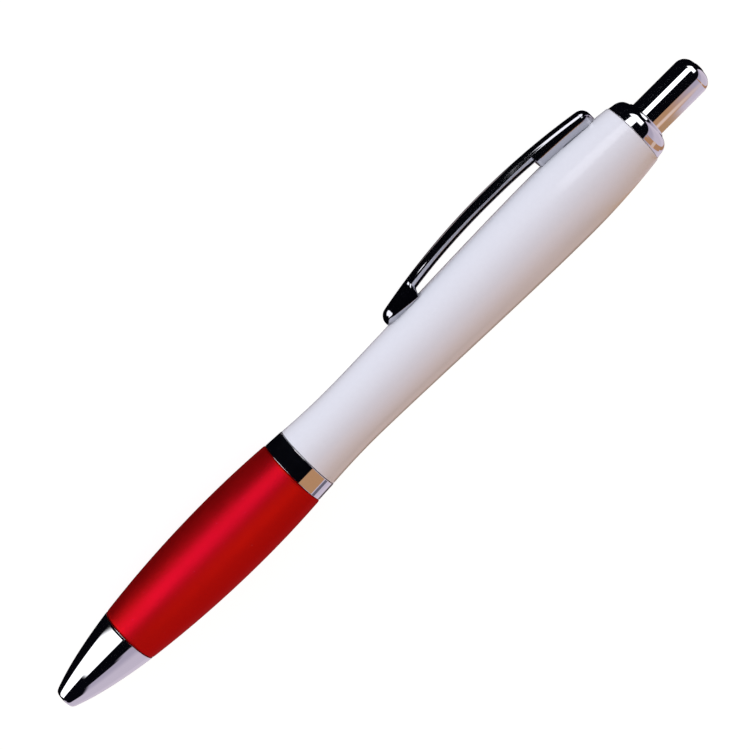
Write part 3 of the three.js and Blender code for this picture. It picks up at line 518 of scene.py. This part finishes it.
round_centre = (BUTTON_RADIUS - BUTTON_ROUNDING, BUTTON_END - BUTTON_CROWN - BUTTON_ROUNDING)
rounded = []
for step in range(ROUNDING_STEPS + 1):
    angle = math.pi / 2 * step / ROUNDING_STEPS
    rounded.append((
        round_centre[0] + BUTTON_ROUNDING * math.cos(angle),
        round_centre[1] + BUTTON_ROUNDING * math.sin(angle),
    ))
crown = curved(rounded[-1], (CROWN_STEER, BUTTON_END), (CROWN_FLAT, BUTTON_END), 4)[1:]
bore_end = BUTTON_END - BUTTON_TOP_WALL
button = spun(
    [(0, bore_end), (BUTTON_BORE - BORE_ROUNDING[0], bore_end)]
    + [(BUTTON_BORE, bore_end - BORE_ROUNDING[1]), (BUTTON_BORE, BUTTON_SKIRT)]
    + [(BUTTON_RADIUS, BUTTON_SKIRT)]
    + rounded + crown + [(0, BUTTON_END)]
)
eased(button, 0.05, sharper_than=50)
laid_down(button, "plated_button", chrome, "chrome", "button_body", "push_button")


# Ratchet. The plunger with its toothed crown and the cam sleeve are moulded in natural acetal and
# the rotor in black. They are the frame's own solids, hidden inside the barrel.
acetal = finish(
    "natural_acetal", (0.86, 0.83, 0.77), (0.8, 0.77, 0.7), (0.3, 0.42), 2.0,
    scales=(4000, 150, 500, 900), scratched=0.08, dusty=0.1,
)
black_cam = finish(
    "moulded_black_cam", (0.02, 0.02, 0.022), (0.035, 0.035, 0.038), (0.3, 0.45), 2.0,
    scales=(4000, 150, 500, 900), scratched=0.1, dusty=0.1,
)
for name, material in (("plunger", acetal), ("guide_sleeve", acetal), ("cam_rotor", black_cam)):
    for cad_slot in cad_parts[name].material_slots:
        cad_slot.material = material


# Refill. A slim extruded tube of ink with a moulded adapter pressed into its front, which carries
# the turned nickel silver point. The carbide ball turns in the point's closed lip.
ink_tube = finish(
    "milky_ink_tube", (0.03, 0.05, 0.2), (0.05, 0.08, 0.28), (0.18, 0.26), 1.0,
    scales=(900, 60, 500, 900), scratched=0.05, Coat_Weight=0.4,
)
nickel_silver = finish(
    "turned_nickel_silver", (0.72, 0.68, 0.58), (0.66, 0.62, 0.52), (0.16, 0.26), 0.4,
    scales=(5000, 400, 1500, 900), scratched=0.1, Metallic=1.0,
)
carbide = finish(
    "polished_carbide", (0.42, 0.43, 0.45), (0.36, 0.37, 0.39), (0.08, 0.16), 0.2,
    scales=(30000, 3000, 9000, 900), scratched=0.1, Metallic=1.0,
)
TUBE_RADIUS = 1.5
TUBE_BORE = 1.1
TUBE_FRONT = 21.35
TUBE_REAR = 109.033
ADAPTER_RADIUS = 1.25
ADAPTER_FRONT = 9.1
NOSE_SLIMMER_BY = 0.1
NOSE_LENGTH = 0.9
ADAPTER_COLLAR = 1.95
COLLAR_FACE = 20.0
COLLAR_REAR = 21.2
TUBE_PLUG = 1.0
TUBE_PLUG_REAR = 25.0
POINT_SEAT = 0.95
POINT_SEAT_REAR = 11.6
INK_HOLE = 0.6
POINT_FRONT = 1.95
POINT_REAR = 9.0
POINT_RADIUS = 1.15
POINT_STEM = 0.85
POINT_STEM_REAR = 11.5
POINT_BORE = 0.5
POINT_BORE_FRONT = 5.35
INK_CHANNEL = 0.25
INK_CHANNEL_REAR = 5.1
LIP_RIM = (0.6, POINT_FRONT)
LIP_REAR = (0.68, 2.25)
CONE_REAR = (1.1, 4.9)
CONE_SHOULDER = (POINT_RADIUS, 5.0)
GROOVE_FLOOR = 1.08
GROOVE_EDGES = (5.6, 6.0)
GROOVE_FLANK = 0.08
BALL_CENTRE = 2.1
BALL_RADIUS = 0.5
BALL_PLAY = 0.03
REFILL_STEPS = 72

tube = spun([
    (TUBE_BORE, TUBE_FRONT), (TUBE_RADIUS, TUBE_FRONT),
    (TUBE_RADIUS, TUBE_REAR), (TUBE_BORE, TUBE_REAR),
], REFILL_STEPS)
eased(tube, 0.08)
laid_down(tube, "ink_filled_tube", ink_tube, "ink_tube", "refill_body", "refill_tube")

adapter = spun([
    (POINT_SEAT, ADAPTER_FRONT), (ADAPTER_RADIUS - NOSE_SLIMMER_BY, ADAPTER_FRONT),
    (ADAPTER_RADIUS, ADAPTER_FRONT + NOSE_LENGTH), (ADAPTER_RADIUS, COLLAR_FACE),
    (ADAPTER_COLLAR, COLLAR_FACE), (ADAPTER_COLLAR, COLLAR_REAR),
    (TUBE_PLUG, COLLAR_REAR), (TUBE_PLUG, TUBE_PLUG_REAR),
    (INK_HOLE, TUBE_PLUG_REAR), (INK_HOLE, POINT_SEAT_REAR), (POINT_SEAT, POINT_SEAT_REAR),
], REFILL_STEPS)
eased(adapter, 0.06)
laid_down(adapter, "tip_adapter", acetal, "acetal", "refill_body", "tip_holder")

cup = BALL_RADIUS + BALL_PLAY
lip_angle = math.asin((POINT_FRONT - BALL_CENTRE) / cup)
channel_angle = math.acos(INK_CHANNEL / cup)
socket = []
for step in range(13):
    angle = channel_angle + (lip_angle - channel_angle) * step / 12
    socket.append((cup * math.cos(angle), BALL_CENTRE + cup * math.sin(angle)))
cone = [LIP_RIM, LIP_REAR, CONE_REAR, CONE_SHOULDER]
groove = [
    (POINT_RADIUS, GROOVE_EDGES[0]), (GROOVE_FLOOR, GROOVE_EDGES[0] + GROOVE_FLANK),
    (GROOVE_FLOOR, GROOVE_EDGES[1] - GROOVE_FLANK), (POINT_RADIUS, GROOVE_EDGES[1]),
]
stem = [(POINT_RADIUS, POINT_REAR), (POINT_STEM, POINT_REAR), (POINT_STEM, POINT_STEM_REAR)]
bore = [
    (POINT_BORE, POINT_STEM_REAR), (POINT_BORE, POINT_BORE_FRONT),
    (INK_CHANNEL, INK_CHANNEL_REAR),
]
point = spun(cone + groove + stem + bore + socket, REFILL_STEPS)
eased(point, 0.03)
laid_down(point, "metal_point", nickel_silver, "nickel_silver", "refill_body", "ball_point")

ball = bmesh.new()
bmesh.ops.create_uvsphere(ball, u_segments=48, v_segments=24, radius=BALL_RADIUS)
bmesh.ops.translate(ball, verts=ball.verts, vec=(0, BALL_CENTRE, 0))
laid_down(ball, "carbide_ball", carbide, "carbide", "ball_body", "writing_ball")


# Return spring. Bright music wire coiled in one length, with its end turns closed up, that stands on
# the nozzle's step and pushes the adapter's collar back. It shortens as the button goes in.
SPRING_WIRE = 0.36
SPRING_RADIUS = 1.62
SPRING_FRONT = 3.55
SPRING_REAR = 19.85
SPRING_ACTIVE_TURNS = 9
SPRING_TURN_STEPS = 32
CLOSED_PITCH_SHARE = 1.06

spring_steel = finish(
    "drawn_spring_wire", (0.5, 0.51, 0.53), (0.42, 0.43, 0.45), (0.16, 0.3), 0.5,
    scales=(9000, 500, 3000, 900), scratched=0.15, Metallic=1.0,
)
closed_pitch = SPRING_WIRE * CLOSED_PITCH_SHARE
coiled = SPRING_REAR - SPRING_FRONT - SPRING_WIRE - 2 * closed_pitch
spring = bmesh.new()
bmesh.ops.create_circle(
    spring, cap_ends=False, segments=12, radius=SPRING_WIRE / 2,
    matrix=Matrix.Translation((SPRING_RADIUS, SPRING_FRONT + SPRING_WIRE / 2, 0)),
)
drawn = list(spring.verts) + list(spring.edges)
end_turn = (1, closed_pitch)
active_turns = (SPRING_ACTIVE_TURNS, coiled / SPRING_ACTIVE_TURNS)
for turns, pitch in (end_turn, active_turns, end_turn):
    drawn = bmesh.ops.spin(
        spring, geom=drawn, cent=(0, 0, 0), axis=(0, 1, 0), dvec=(0, pitch / SPRING_TURN_STEPS, 0),
        angle=2 * math.pi * turns, steps=turns * SPRING_TURN_STEPS, use_merge=False,
    )["geom_last"]
bmesh.ops.holes_fill(spring, edges=[edge for edge in spring.edges if edge.is_boundary], sides=0)
bmesh.ops.recalc_face_normals(spring, faces=spring.faces)
coil = laid_down(spring, "coil_spring", spring_steel, "spring_steel", "front_body", "return_spring")
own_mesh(coil)


# Clip. A cast and plated arm, bowed over the belly: a leaf-shaped foot that presses on the barrel, a
# slim arm with a rounded underside, and a block with a round end that sits over the slot. Its tenon
# goes through the barrel's wall and hooks behind it.
# The clip is plated like the nozzle, but its chrome is a darker copy of the bright chrome, as painted
# shade, so that it mirrors the room darker than the other chrome does.
shade_darkened_chrome = finish(
    "shade_darkened_clip_chrome", (0.54, 0.54, 0.58), (0.5, 0.5, 0.54), (0.03, 0.08), 0.02,
    scales=(6000, 80, 600, 700), scratched=0.04, Metallic=1.0,
)
CLIP_FRONT = 77.6
CLIP_REAR = 122.9
CLIP_CREST = (10.129, 102.3)
CLIP_BOW = 122
FOOT_REAR = 84.1
FOOT_SLOPE = 0.8
BLOCK_FRONT = 111.6
BLOCK_SLOPE = 0.25
ARM_HALF_WIDTH = 1.85
FOOT_WIDER_BY = 0.4
FOOT_TAPER = 6.5
BLOCK_WIDER_BY = 0.15
BLOCK_TAPER = 8
BLOCK_TAPER_LEAD = 3
NECK_THICKNESS = 2.0
ARM_THICKNESS = 2.15
CLIP_CROWN = 0.12
CORNER_ROUNDING = 1.15
NECK_SHARPER = 0.35
REAR_SHARPER = 0.2
REAR_SHARPENING = 12
UNDERSIDE_ROUNDING = 0.15
END_ROUNDING = 1.3
BLUNTEST_END = 0.12
SEAT_GAP = 0.1
LEAST_EDGE = 0.05
ARM_FLANGE = 0.35
LEAF_EDGE, LEAF_LEAN = 1.0, 0.75
GROOVE_DEPTH, GROOVE_LEAN = 0.8, 0.5
BLOCK_DRAFT, BLOCK_LEAN = 1.1, 0.45
HIGHEST_LEAN = 0.95
LEAN_START = 0.25
LEAN_END = 0.55


def clamped(value):
    return min(max(value, 0), 1)


def eased_step(value):
    """0 to 1, leaving and reaching them level."""
    value = clamped(value)
    return value * value * (3 - 2 * value)


def end_share(along, reach):
    """1 on the clip's straight run, falling round a quarter circle to 0 at its two ends."""
    left = min(along - CLIP_FRONT, CLIP_REAR - along)
    return math.sqrt(max(0, 1 - max(0, 1 - left / reach) ** 2))


def half_width(along):
    """Half of the clip's width, which is widest at the foot and least on the arm."""
    foot = eased_step((FOOT_REAR + FOOT_TAPER - along) / FOOT_TAPER)
    block = eased_step((along - BLOCK_FRONT + BLOCK_TAPER_LEAD) / BLOCK_TAPER)
    return ARM_HALF_WIDTH + FOOT_WIDER_BY * foot + BLOCK_WIDER_BY * block


def lean_of_side(along, foot, block):
    """Where the side leans inward, as heights above the inner face, and how far it leans. It is a
    leaf's edge on the foot, a groove over a narrow flange on the arm, and a draft on the block."""
    leaf = clamped((FOOT_REAR - along) / (FOOT_REAR - CLIP_FRONT))
    arm = (1 - foot) * (1 - block)
    start = LEAST_EDGE + ARM_FLANGE * arm
    depth = LEAST_EDGE + LEAF_EDGE * foot * leaf + GROOVE_DEPTH * arm + BLOCK_DRAFT * block
    lean = depth * (LEAF_LEAN * foot + GROOVE_LEAN * arm + BLOCK_LEAN * block)
    return start, start + depth, lean


def outer_face(along):
    """The height of the outer face on the clip's middle line: a bow, rounded off at both ends."""
    bow = CLIP_CREST[0] - CLIP_BOW + math.sqrt(CLIP_BOW ** 2 - (along - CLIP_CREST[1]) ** 2)
    return bow - END_ROUNDING * (1 - end_share(along, END_ROUNDING))


def clip_point(depth, along, side):
    """Where a point of the plain bar goes: depth from 0 inside to 1 outside, side from -1 to 1."""
    half = half_width(along)
    narrowing = end_share(along, half)
    half *= max(narrowing, BLUNTEST_END)
    outside = outer_face(along)
    neck = clamped((along - FOOT_REAR) / (CLIP_CREST[1] - FOOT_REAR))
    thickness = NECK_THICKNESS + (ARM_THICKNESS - NECK_THICKNESS) * neck
    underside = outside - thickness + UNDERSIDE_ROUNDING * side ** 4
    seat = radius_at(barrel_outside, along) + SEAT_GAP
    saddle = math.sqrt(seat ** 2 - (side * half) ** 2)
    foot = eased_step((FOOT_REAR + FOOT_SLOPE - along) / FOOT_SLOPE)
    block = eased_step((along - BLOCK_FRONT) / BLOCK_SLOPE)
    inside = underside + (saddle - underside) * max(foot, block)
    rear = eased_step((along - CLIP_CREST[1]) / REAR_SHARPENING)
    sharper = NECK_SHARPER * (1 - foot) * (1 - neck) + REAR_SHARPER * rear
    corner = min(CORNER_ROUNDING * (1 - sharper), half)
    past = max(0, abs(side) * half - (half - corner)) / corner
    outside -= CLIP_CROWN * side ** 2 + corner * (1 - math.sqrt(max(0, 1 - past ** 2)))
    low, high, lean = lean_of_side(along, foot, block)
    high = min(high, HIGHEST_LEAN * (outside - inside))
    if depth < LEAN_START:
        rise = low * depth / LEAN_START
    elif depth < LEAN_END:
        rise = low + (high - low) * (depth - LEAN_START) / (LEAN_END - LEAN_START)
    else:
        rise = high + (outside - inside - high) * (depth - LEAN_END) / (1 - LEAN_END)
    inset = lean * narrowing * clamped((high - rise) / (high - low))
    return (inside + rise, along, side * (half - inset))


bar = bmesh.new()
bar_middle = Matrix.Translation((0.5, (CLIP_FRONT + CLIP_REAR) / 2, 0))
bar_size = Matrix.Diagonal((1, CLIP_REAR - CLIP_FRONT, 2, 1))
bmesh.ops.create_cube(bar, size=1, matrix=bar_middle @ bar_size)
ROUND_END = ARM_HALF_WIDTH + FOOT_WIDER_BY
rows = {FOOT_REAR + FOOT_SLOPE * step / 8 for step in range(9)}
rows |= {BLOCK_FRONT + BLOCK_SLOPE * step / 4 for step in range(5)}
for step in range(1, 13):
    inset = ROUND_END * (1 - math.cos(math.pi / 2 * step / 12))
    rows |= {CLIP_FRONT + inset, CLIP_REAR - inset}
for begins, apart, count in (
    (CLIP_FRONT + ROUND_END, 0.78, 5),
    (FOOT_REAR + FOOT_SLOPE, 0.8, 31),
    (BLOCK_FRONT + BLOCK_SLOPE, 0.9, 9),
):
    rows |= {begins + apart * step for step in range(1, count + 1)}
rows = sorted(row for row in rows if CLIP_FRONT + 0.01 < row < CLIP_REAR - 0.01)
columns = [0, 0.25, 0.4, 0.55, 0.68, 0.8, 0.88, 0.94, 0.98]
columns += [-column for column in columns[1:]]
levels = [0.2, LEAN_START, 0.28, 0.4, 0.52, LEAN_END, 0.58, 0.8]
for normal, stations in (((0, 1, 0), rows), ((0, 0, 1), columns), ((1, 0, 0), levels)):
    for station in stations:
        bmesh.ops.bisect_plane(
            bar, geom=bar.verts[:] + bar.edges[:] + bar.faces[:], dist=1e-6,
            plane_co=Vector(normal) * station, plane_no=normal,
        )
for vert in bar.verts:
    vert.co = clip_point(*vert.co)
eased(bar, 0.08, sharper_than=50)

# Each as from and to outward, from and to along the pen, and the width across.
TENON = ((4.25, 6.95), (116.5, 121.1), 2.2)
HOOK = ((4.25, 4.53), (120.4, 121.8), 1.6)
for (inner, outer), (front, rear), width in (TENON, HOOK):
    place = Matrix.Translation(((inner + outer) / 2, (front + rear) / 2, 0))
    size = Matrix.Diagonal((outer - inner, rear - front, width, 1))
    bmesh.ops.create_cube(bar, size=1, matrix=place @ size)
laid_down(bar, "pocket_clip", shade_darkened_chrome, "chrome", "clip_body", "clip")


# Floor. A plain pale sheet lit from behind, as on a light table, and not part of the pen. Only the
# camera sees it, so that the pen shows the studio round it.
floor_paint = finish(
    "pale_paper", (0.2, 0.2, 0.2), (0.19, 0.19, 0.19), (0.7, 0.85), 20.0,
    scales=(900, 30, 300, 900), scratched=0.0,
    Specular_IOR_Level=0.0, Emission_Color=(1, 1, 1, 1), Emission_Strength=0.92,
)
FLOOR_REACH = 2.0

sheet = bmesh.new()
bmesh.ops.create_grid(sheet, x_segments=2, y_segments=2, size=FLOOR_REACH)
sheet_mesh = bpy.data.meshes.new("pale_floor")
sheet.to_mesh(sheet_mesh)
sheet.free()
sheet_mesh.materials.append(floor_paint)
floor = bpy.data.objects.new("pale_floor", sheet_mesh)
bpy.context.scene.collection.objects.link(floor)
floor.visible_glossy = False
floor.visible_diffuse = False
floor.visible_shadow = False


# Studio. Lamps light the pen softly, cool from the clip's side, warm from the other and white through
# the sheet. The chrome sees a dark room with three bright panels, a brown wall and a pale one, and
# two lamps shine only on the grip's satin skin.
world = bpy.data.worlds.new("studio")
bpy.context.scene.world = world
world.use_nodes = True
room = world.node_tree
backdrop = room.nodes["Background"]
direction = shader(room, "ShaderNodeTexCoord").outputs["Generated"]
split = shader(room, "ShaderNodeSeparateXYZ", {0: direction})
roll = shader(room, "ShaderNodeMath", {
    0: split.outputs["Z"], 1: split.outputs["Y"],
}, operation="ARCTAN2")
roll = shader(room, "ShaderNodeMath", {0: roll.outputs[0]}, operation="DEGREES").outputs[0]
reach = shader(room, "ShaderNodeMath", {0: split.outputs["X"]}, operation="ARCSINE")
reach = shader(room, "ShaderNodeMath", {0: reach.outputs[0]}, operation="DEGREES").outputs[0]


def between(value, low, high, blur):
    """A mask that is 1 between two angles and fades over blur degrees outside them."""
    rising = shader(room, "ShaderNodeMapRange", {
        "Value": value, "From Min": low - blur, "From Max": low,
    }, interpolation_type="SMOOTHSTEP")
    falling = shader(room, "ShaderNodeMapRange", {
        "Value": value, "From Min": high, "From Max": high + blur, "To Min": 1.0, "To Max": 0.0,
    }, interpolation_type="SMOOTHSTEP")
    both = shader(room, "ShaderNodeMath", {
        0: rising.outputs["Result"], 1: falling.outputs["Result"],
    }, operation="MULTIPLY")
    return both.outputs[0]


# The colour of the room, then patches over it: colour, from and to round the pen's length, from and
# to along it, and the blur of the edges. All but the colour are in degrees.
seen = (0.0015, 0.0015, 0.003, 1)
PANEL = (1.8, 1.8, 1.84)
BROWN = (0.46, 0.27, 0.15)
SLATE = (0.15, 0.14, 0.19)
BLACK = (0.002, 0.002, 0.004)
PATCHES = (
    ((0.44, 0.39, 0.50), (92, 180.1), (-90, 90), 4),
    ((0.60, 0.53, 0.64), (135, 180.1), (-90, 90), 28),
    ((0.66, 0.58, 0.69), (-180.1, -138), (-90, 90), 4),
    ((0.10, 0.08, 0.08), (-160, -120), (-4, 4.5), 3),
    ((0.50, 0.27, 0.14), (89, 147), (-4, 7.1), 1.2),
    (BROWN, (147, 180.1), (5.8, 7.1), 0.6),
    (BROWN, (-180.1, -140), (5.8, 7.1), 0.6),
    ((0.64, 0.41, 0.29), (117, 141), (5.8, 7.1), 1.5),
    ((0.78, 0.58, 0.49), (122, 136), (5.8, 7.1), 1.5),
    (SLATE, (108, 165), (2.3, 5.3), 0.5),
    (SLATE, (152, 165), (-8, -0.8), 0.5),
    ((0.46, 0.24, 0.13), (92, 180.1), (13.6, 21), 1),
    ((0.40, 0.21, 0.12), (-180.1, -140), (13.6, 21), 1),
    ((0.68, 0.50, 0.42), (130, 142), (13.6, 21), 3),
    ((0.66, 0.55, 0.56), (-104, -84), (-1.5, 3.5), 1.5),
    (PANEL, (-33, 47), (-62, -27), 3),
    (PANEL, (5, 32), (5.5, 30), 0.6),
    (PANEL, (-6, 50), (36, 62), 7),
    (BLACK, (84, 96), (-40, -31), 3),
    (BLACK, (30, 126), (-66, -41), 3),
)
for colour, rolls, reaches, blur in PATCHES:
    covered = shader(room, "ShaderNodeMath", {
        0: between(roll, *rolls, blur), 1: between(reach, *reaches, blur),
    }, operation="MULTIPLY")
    over = shader(room, "ShaderNodeMix", {
        0: covered.outputs[0], 6: seen, 7: (*colour, 1),
    }, data_type="RGBA")
    seen = over.outputs[2]

# The soft light of the room on what doesn't mirror: from the side away from the clip to the clip's.
LIGHT_FROM = math.radians(10)
BACKDROP = (0.86, 0.86, 0.88, 1)
LIGHT_STOPS = (
    (0.0, (0.73, 0.6, 0.38)),
    (0.25, (0.46, 0.27, 0.13)),
    (0.5, (0.38, 0.22, 0.17)),
    (0.75, (0.72, 0.69, 0.73)),
    (1.0, (1.33, 1.44, 1.57)),
)
facing = shader(room, "ShaderNodeVectorMath", {
    0: direction, 1: (0, math.cos(LIGHT_FROM), math.sin(LIGHT_FROM)),
}, operation="DOT_PRODUCT")
facing = shader(room, "ShaderNodeMapRange", {"Value": facing.outputs["Value"], "From Min": -1.0})
soft = shader(room, "ShaderNodeValToRGB", {"Fac": facing.outputs["Result"]})
soft.color_ramp.elements.remove(soft.color_ramp.elements[1])
for stop, (place_on_ramp, colour) in enumerate(LIGHT_STOPS):
    element = soft.color_ramp.elements.new(place_on_ramp) if stop else soft.color_ramp.elements[0]
    element.position = place_on_ramp
    element.color = (*colour, 1)
path = shader(room, "ShaderNodeLightPath")
light_or_mirror = shader(room, "ShaderNodeMix", {
    0: path.outputs["Is Glossy Ray"], 6: soft.outputs["Color"], 7: seen,
}, data_type="RGBA")
shown = shader(room, "ShaderNodeMix", {
    0: path.outputs["Is Camera Ray"], 6: light_or_mirror.outputs[2], 7: BACKDROP,
}, data_type="RGBA")
room.links.new(shown.outputs[2], backdrop.inputs["Color"])

pen_axis = Vector((0, AXIS_LEFT_OF_MIDDLE, AXIS_HEIGHT)) * 0.001


def lamp(name, elevation, away, ahead, size, watts, colour):
    """A square lamp that faces across the pen at an elevation in degrees, counted from the clip's
    side, away from the pen's axis and ahead of its middle towards the writing end, in metres."""
    angle = math.radians(elevation)
    towards = Vector((0, math.cos(angle), math.sin(angle)))
    data = bpy.data.lights.new(name, "AREA")
    data.size = size
    data.energy = watts
    data.color = colour
    lamp_object = bpy.data.objects.new(name, data)
    bpy.context.scene.collection.objects.link(lamp_object)
    lamp_object.location = pen_axis + towards * away - Vector((ahead, 0, 0))
    lamp_object.rotation_euler = towards.to_track_quat("Z", "Y").to_euler()
    return lamp_object


for soft_lamp in (
    lamp("cool_key", 40, 0.7, 0, 0.5, 0.15, (0.94, 0.95, 1.0)),
    lamp("warm_fill", 150, 0.8, 0, 0.6, 0.1, (1.0, 0.82, 0.66)),
    lamp("table_glow", 232, 0.7, 0, 0.6, 2.4, (0.82, 0.95, 1.15)),
):
    soft_lamp.visible_glossy = False
sheen_only = bpy.data.collections.new("sheen_only")
sheen_only.objects.link(satin_grip)
for sheen_lamp in (
    lamp("sheen_key", 26, 0.7, 0.22, 0.6, 1.47, (1.0, 0.05, 8.4)),
    lamp("sheen_fill", 82, 0.7, 0.12, 0.5, 0.64, (1.0, 1.1, 0.1)),
):
    sheen_lamp.light_linking.receiver_collection = sheen_only


# Camera. It looks down on the pen from the clip's side, near enough for the joints to show as slight
# curves, with the pen rising from lower left to upper right.
CAMERA_ELEVATION = math.radians(53)
CAMERA_DISTANCE = 0.357
CAMERA_FOOT = 0.0165
CAMERA_LENS = 109.8
PICTURE_TILT = math.radians(44.92)
PICTURE_MIDDLE = (0.0007, 0.0017)

towards_camera = Vector((0, math.cos(CAMERA_ELEVATION), math.sin(CAMERA_ELEVATION)))
clip_side = Vector((0, math.sin(CAMERA_ELEVATION), -math.cos(CAMERA_ELEVATION)))
along_pen = Vector((1, 0, 0))
eye = pen_axis + along_pen * CAMERA_FOOT + towards_camera * CAMERA_DISTANCE
aim = pen_axis + along_pen * PICTURE_MIDDLE[0] + clip_side * PICTURE_MIDDLE[1]
forward = (aim - eye).normalized()
picture_up = along_pen * math.sin(PICTURE_TILT) + clip_side * math.cos(PICTURE_TILT)
picture_right = forward.cross(picture_up).normalized()
picture_up = picture_right.cross(forward)
camera_data = bpy.data.cameras.new("camera")
camera_data.lens = CAMERA_LENS
camera_data.sensor_width = 36
camera_data.clip_start = 0.01
camera = bpy.data.objects.new("camera", camera_data)
bpy.context.scene.collection.objects.link(camera)
camera_axes = Matrix((picture_right, picture_up, -forward)).transposed()
camera.matrix_world = Matrix.Translation(eye) @ camera_axes.to_4x4()
bpy.context.scene.camera = camera
bpy.context.scene.view_settings.view_transform = "Standard"
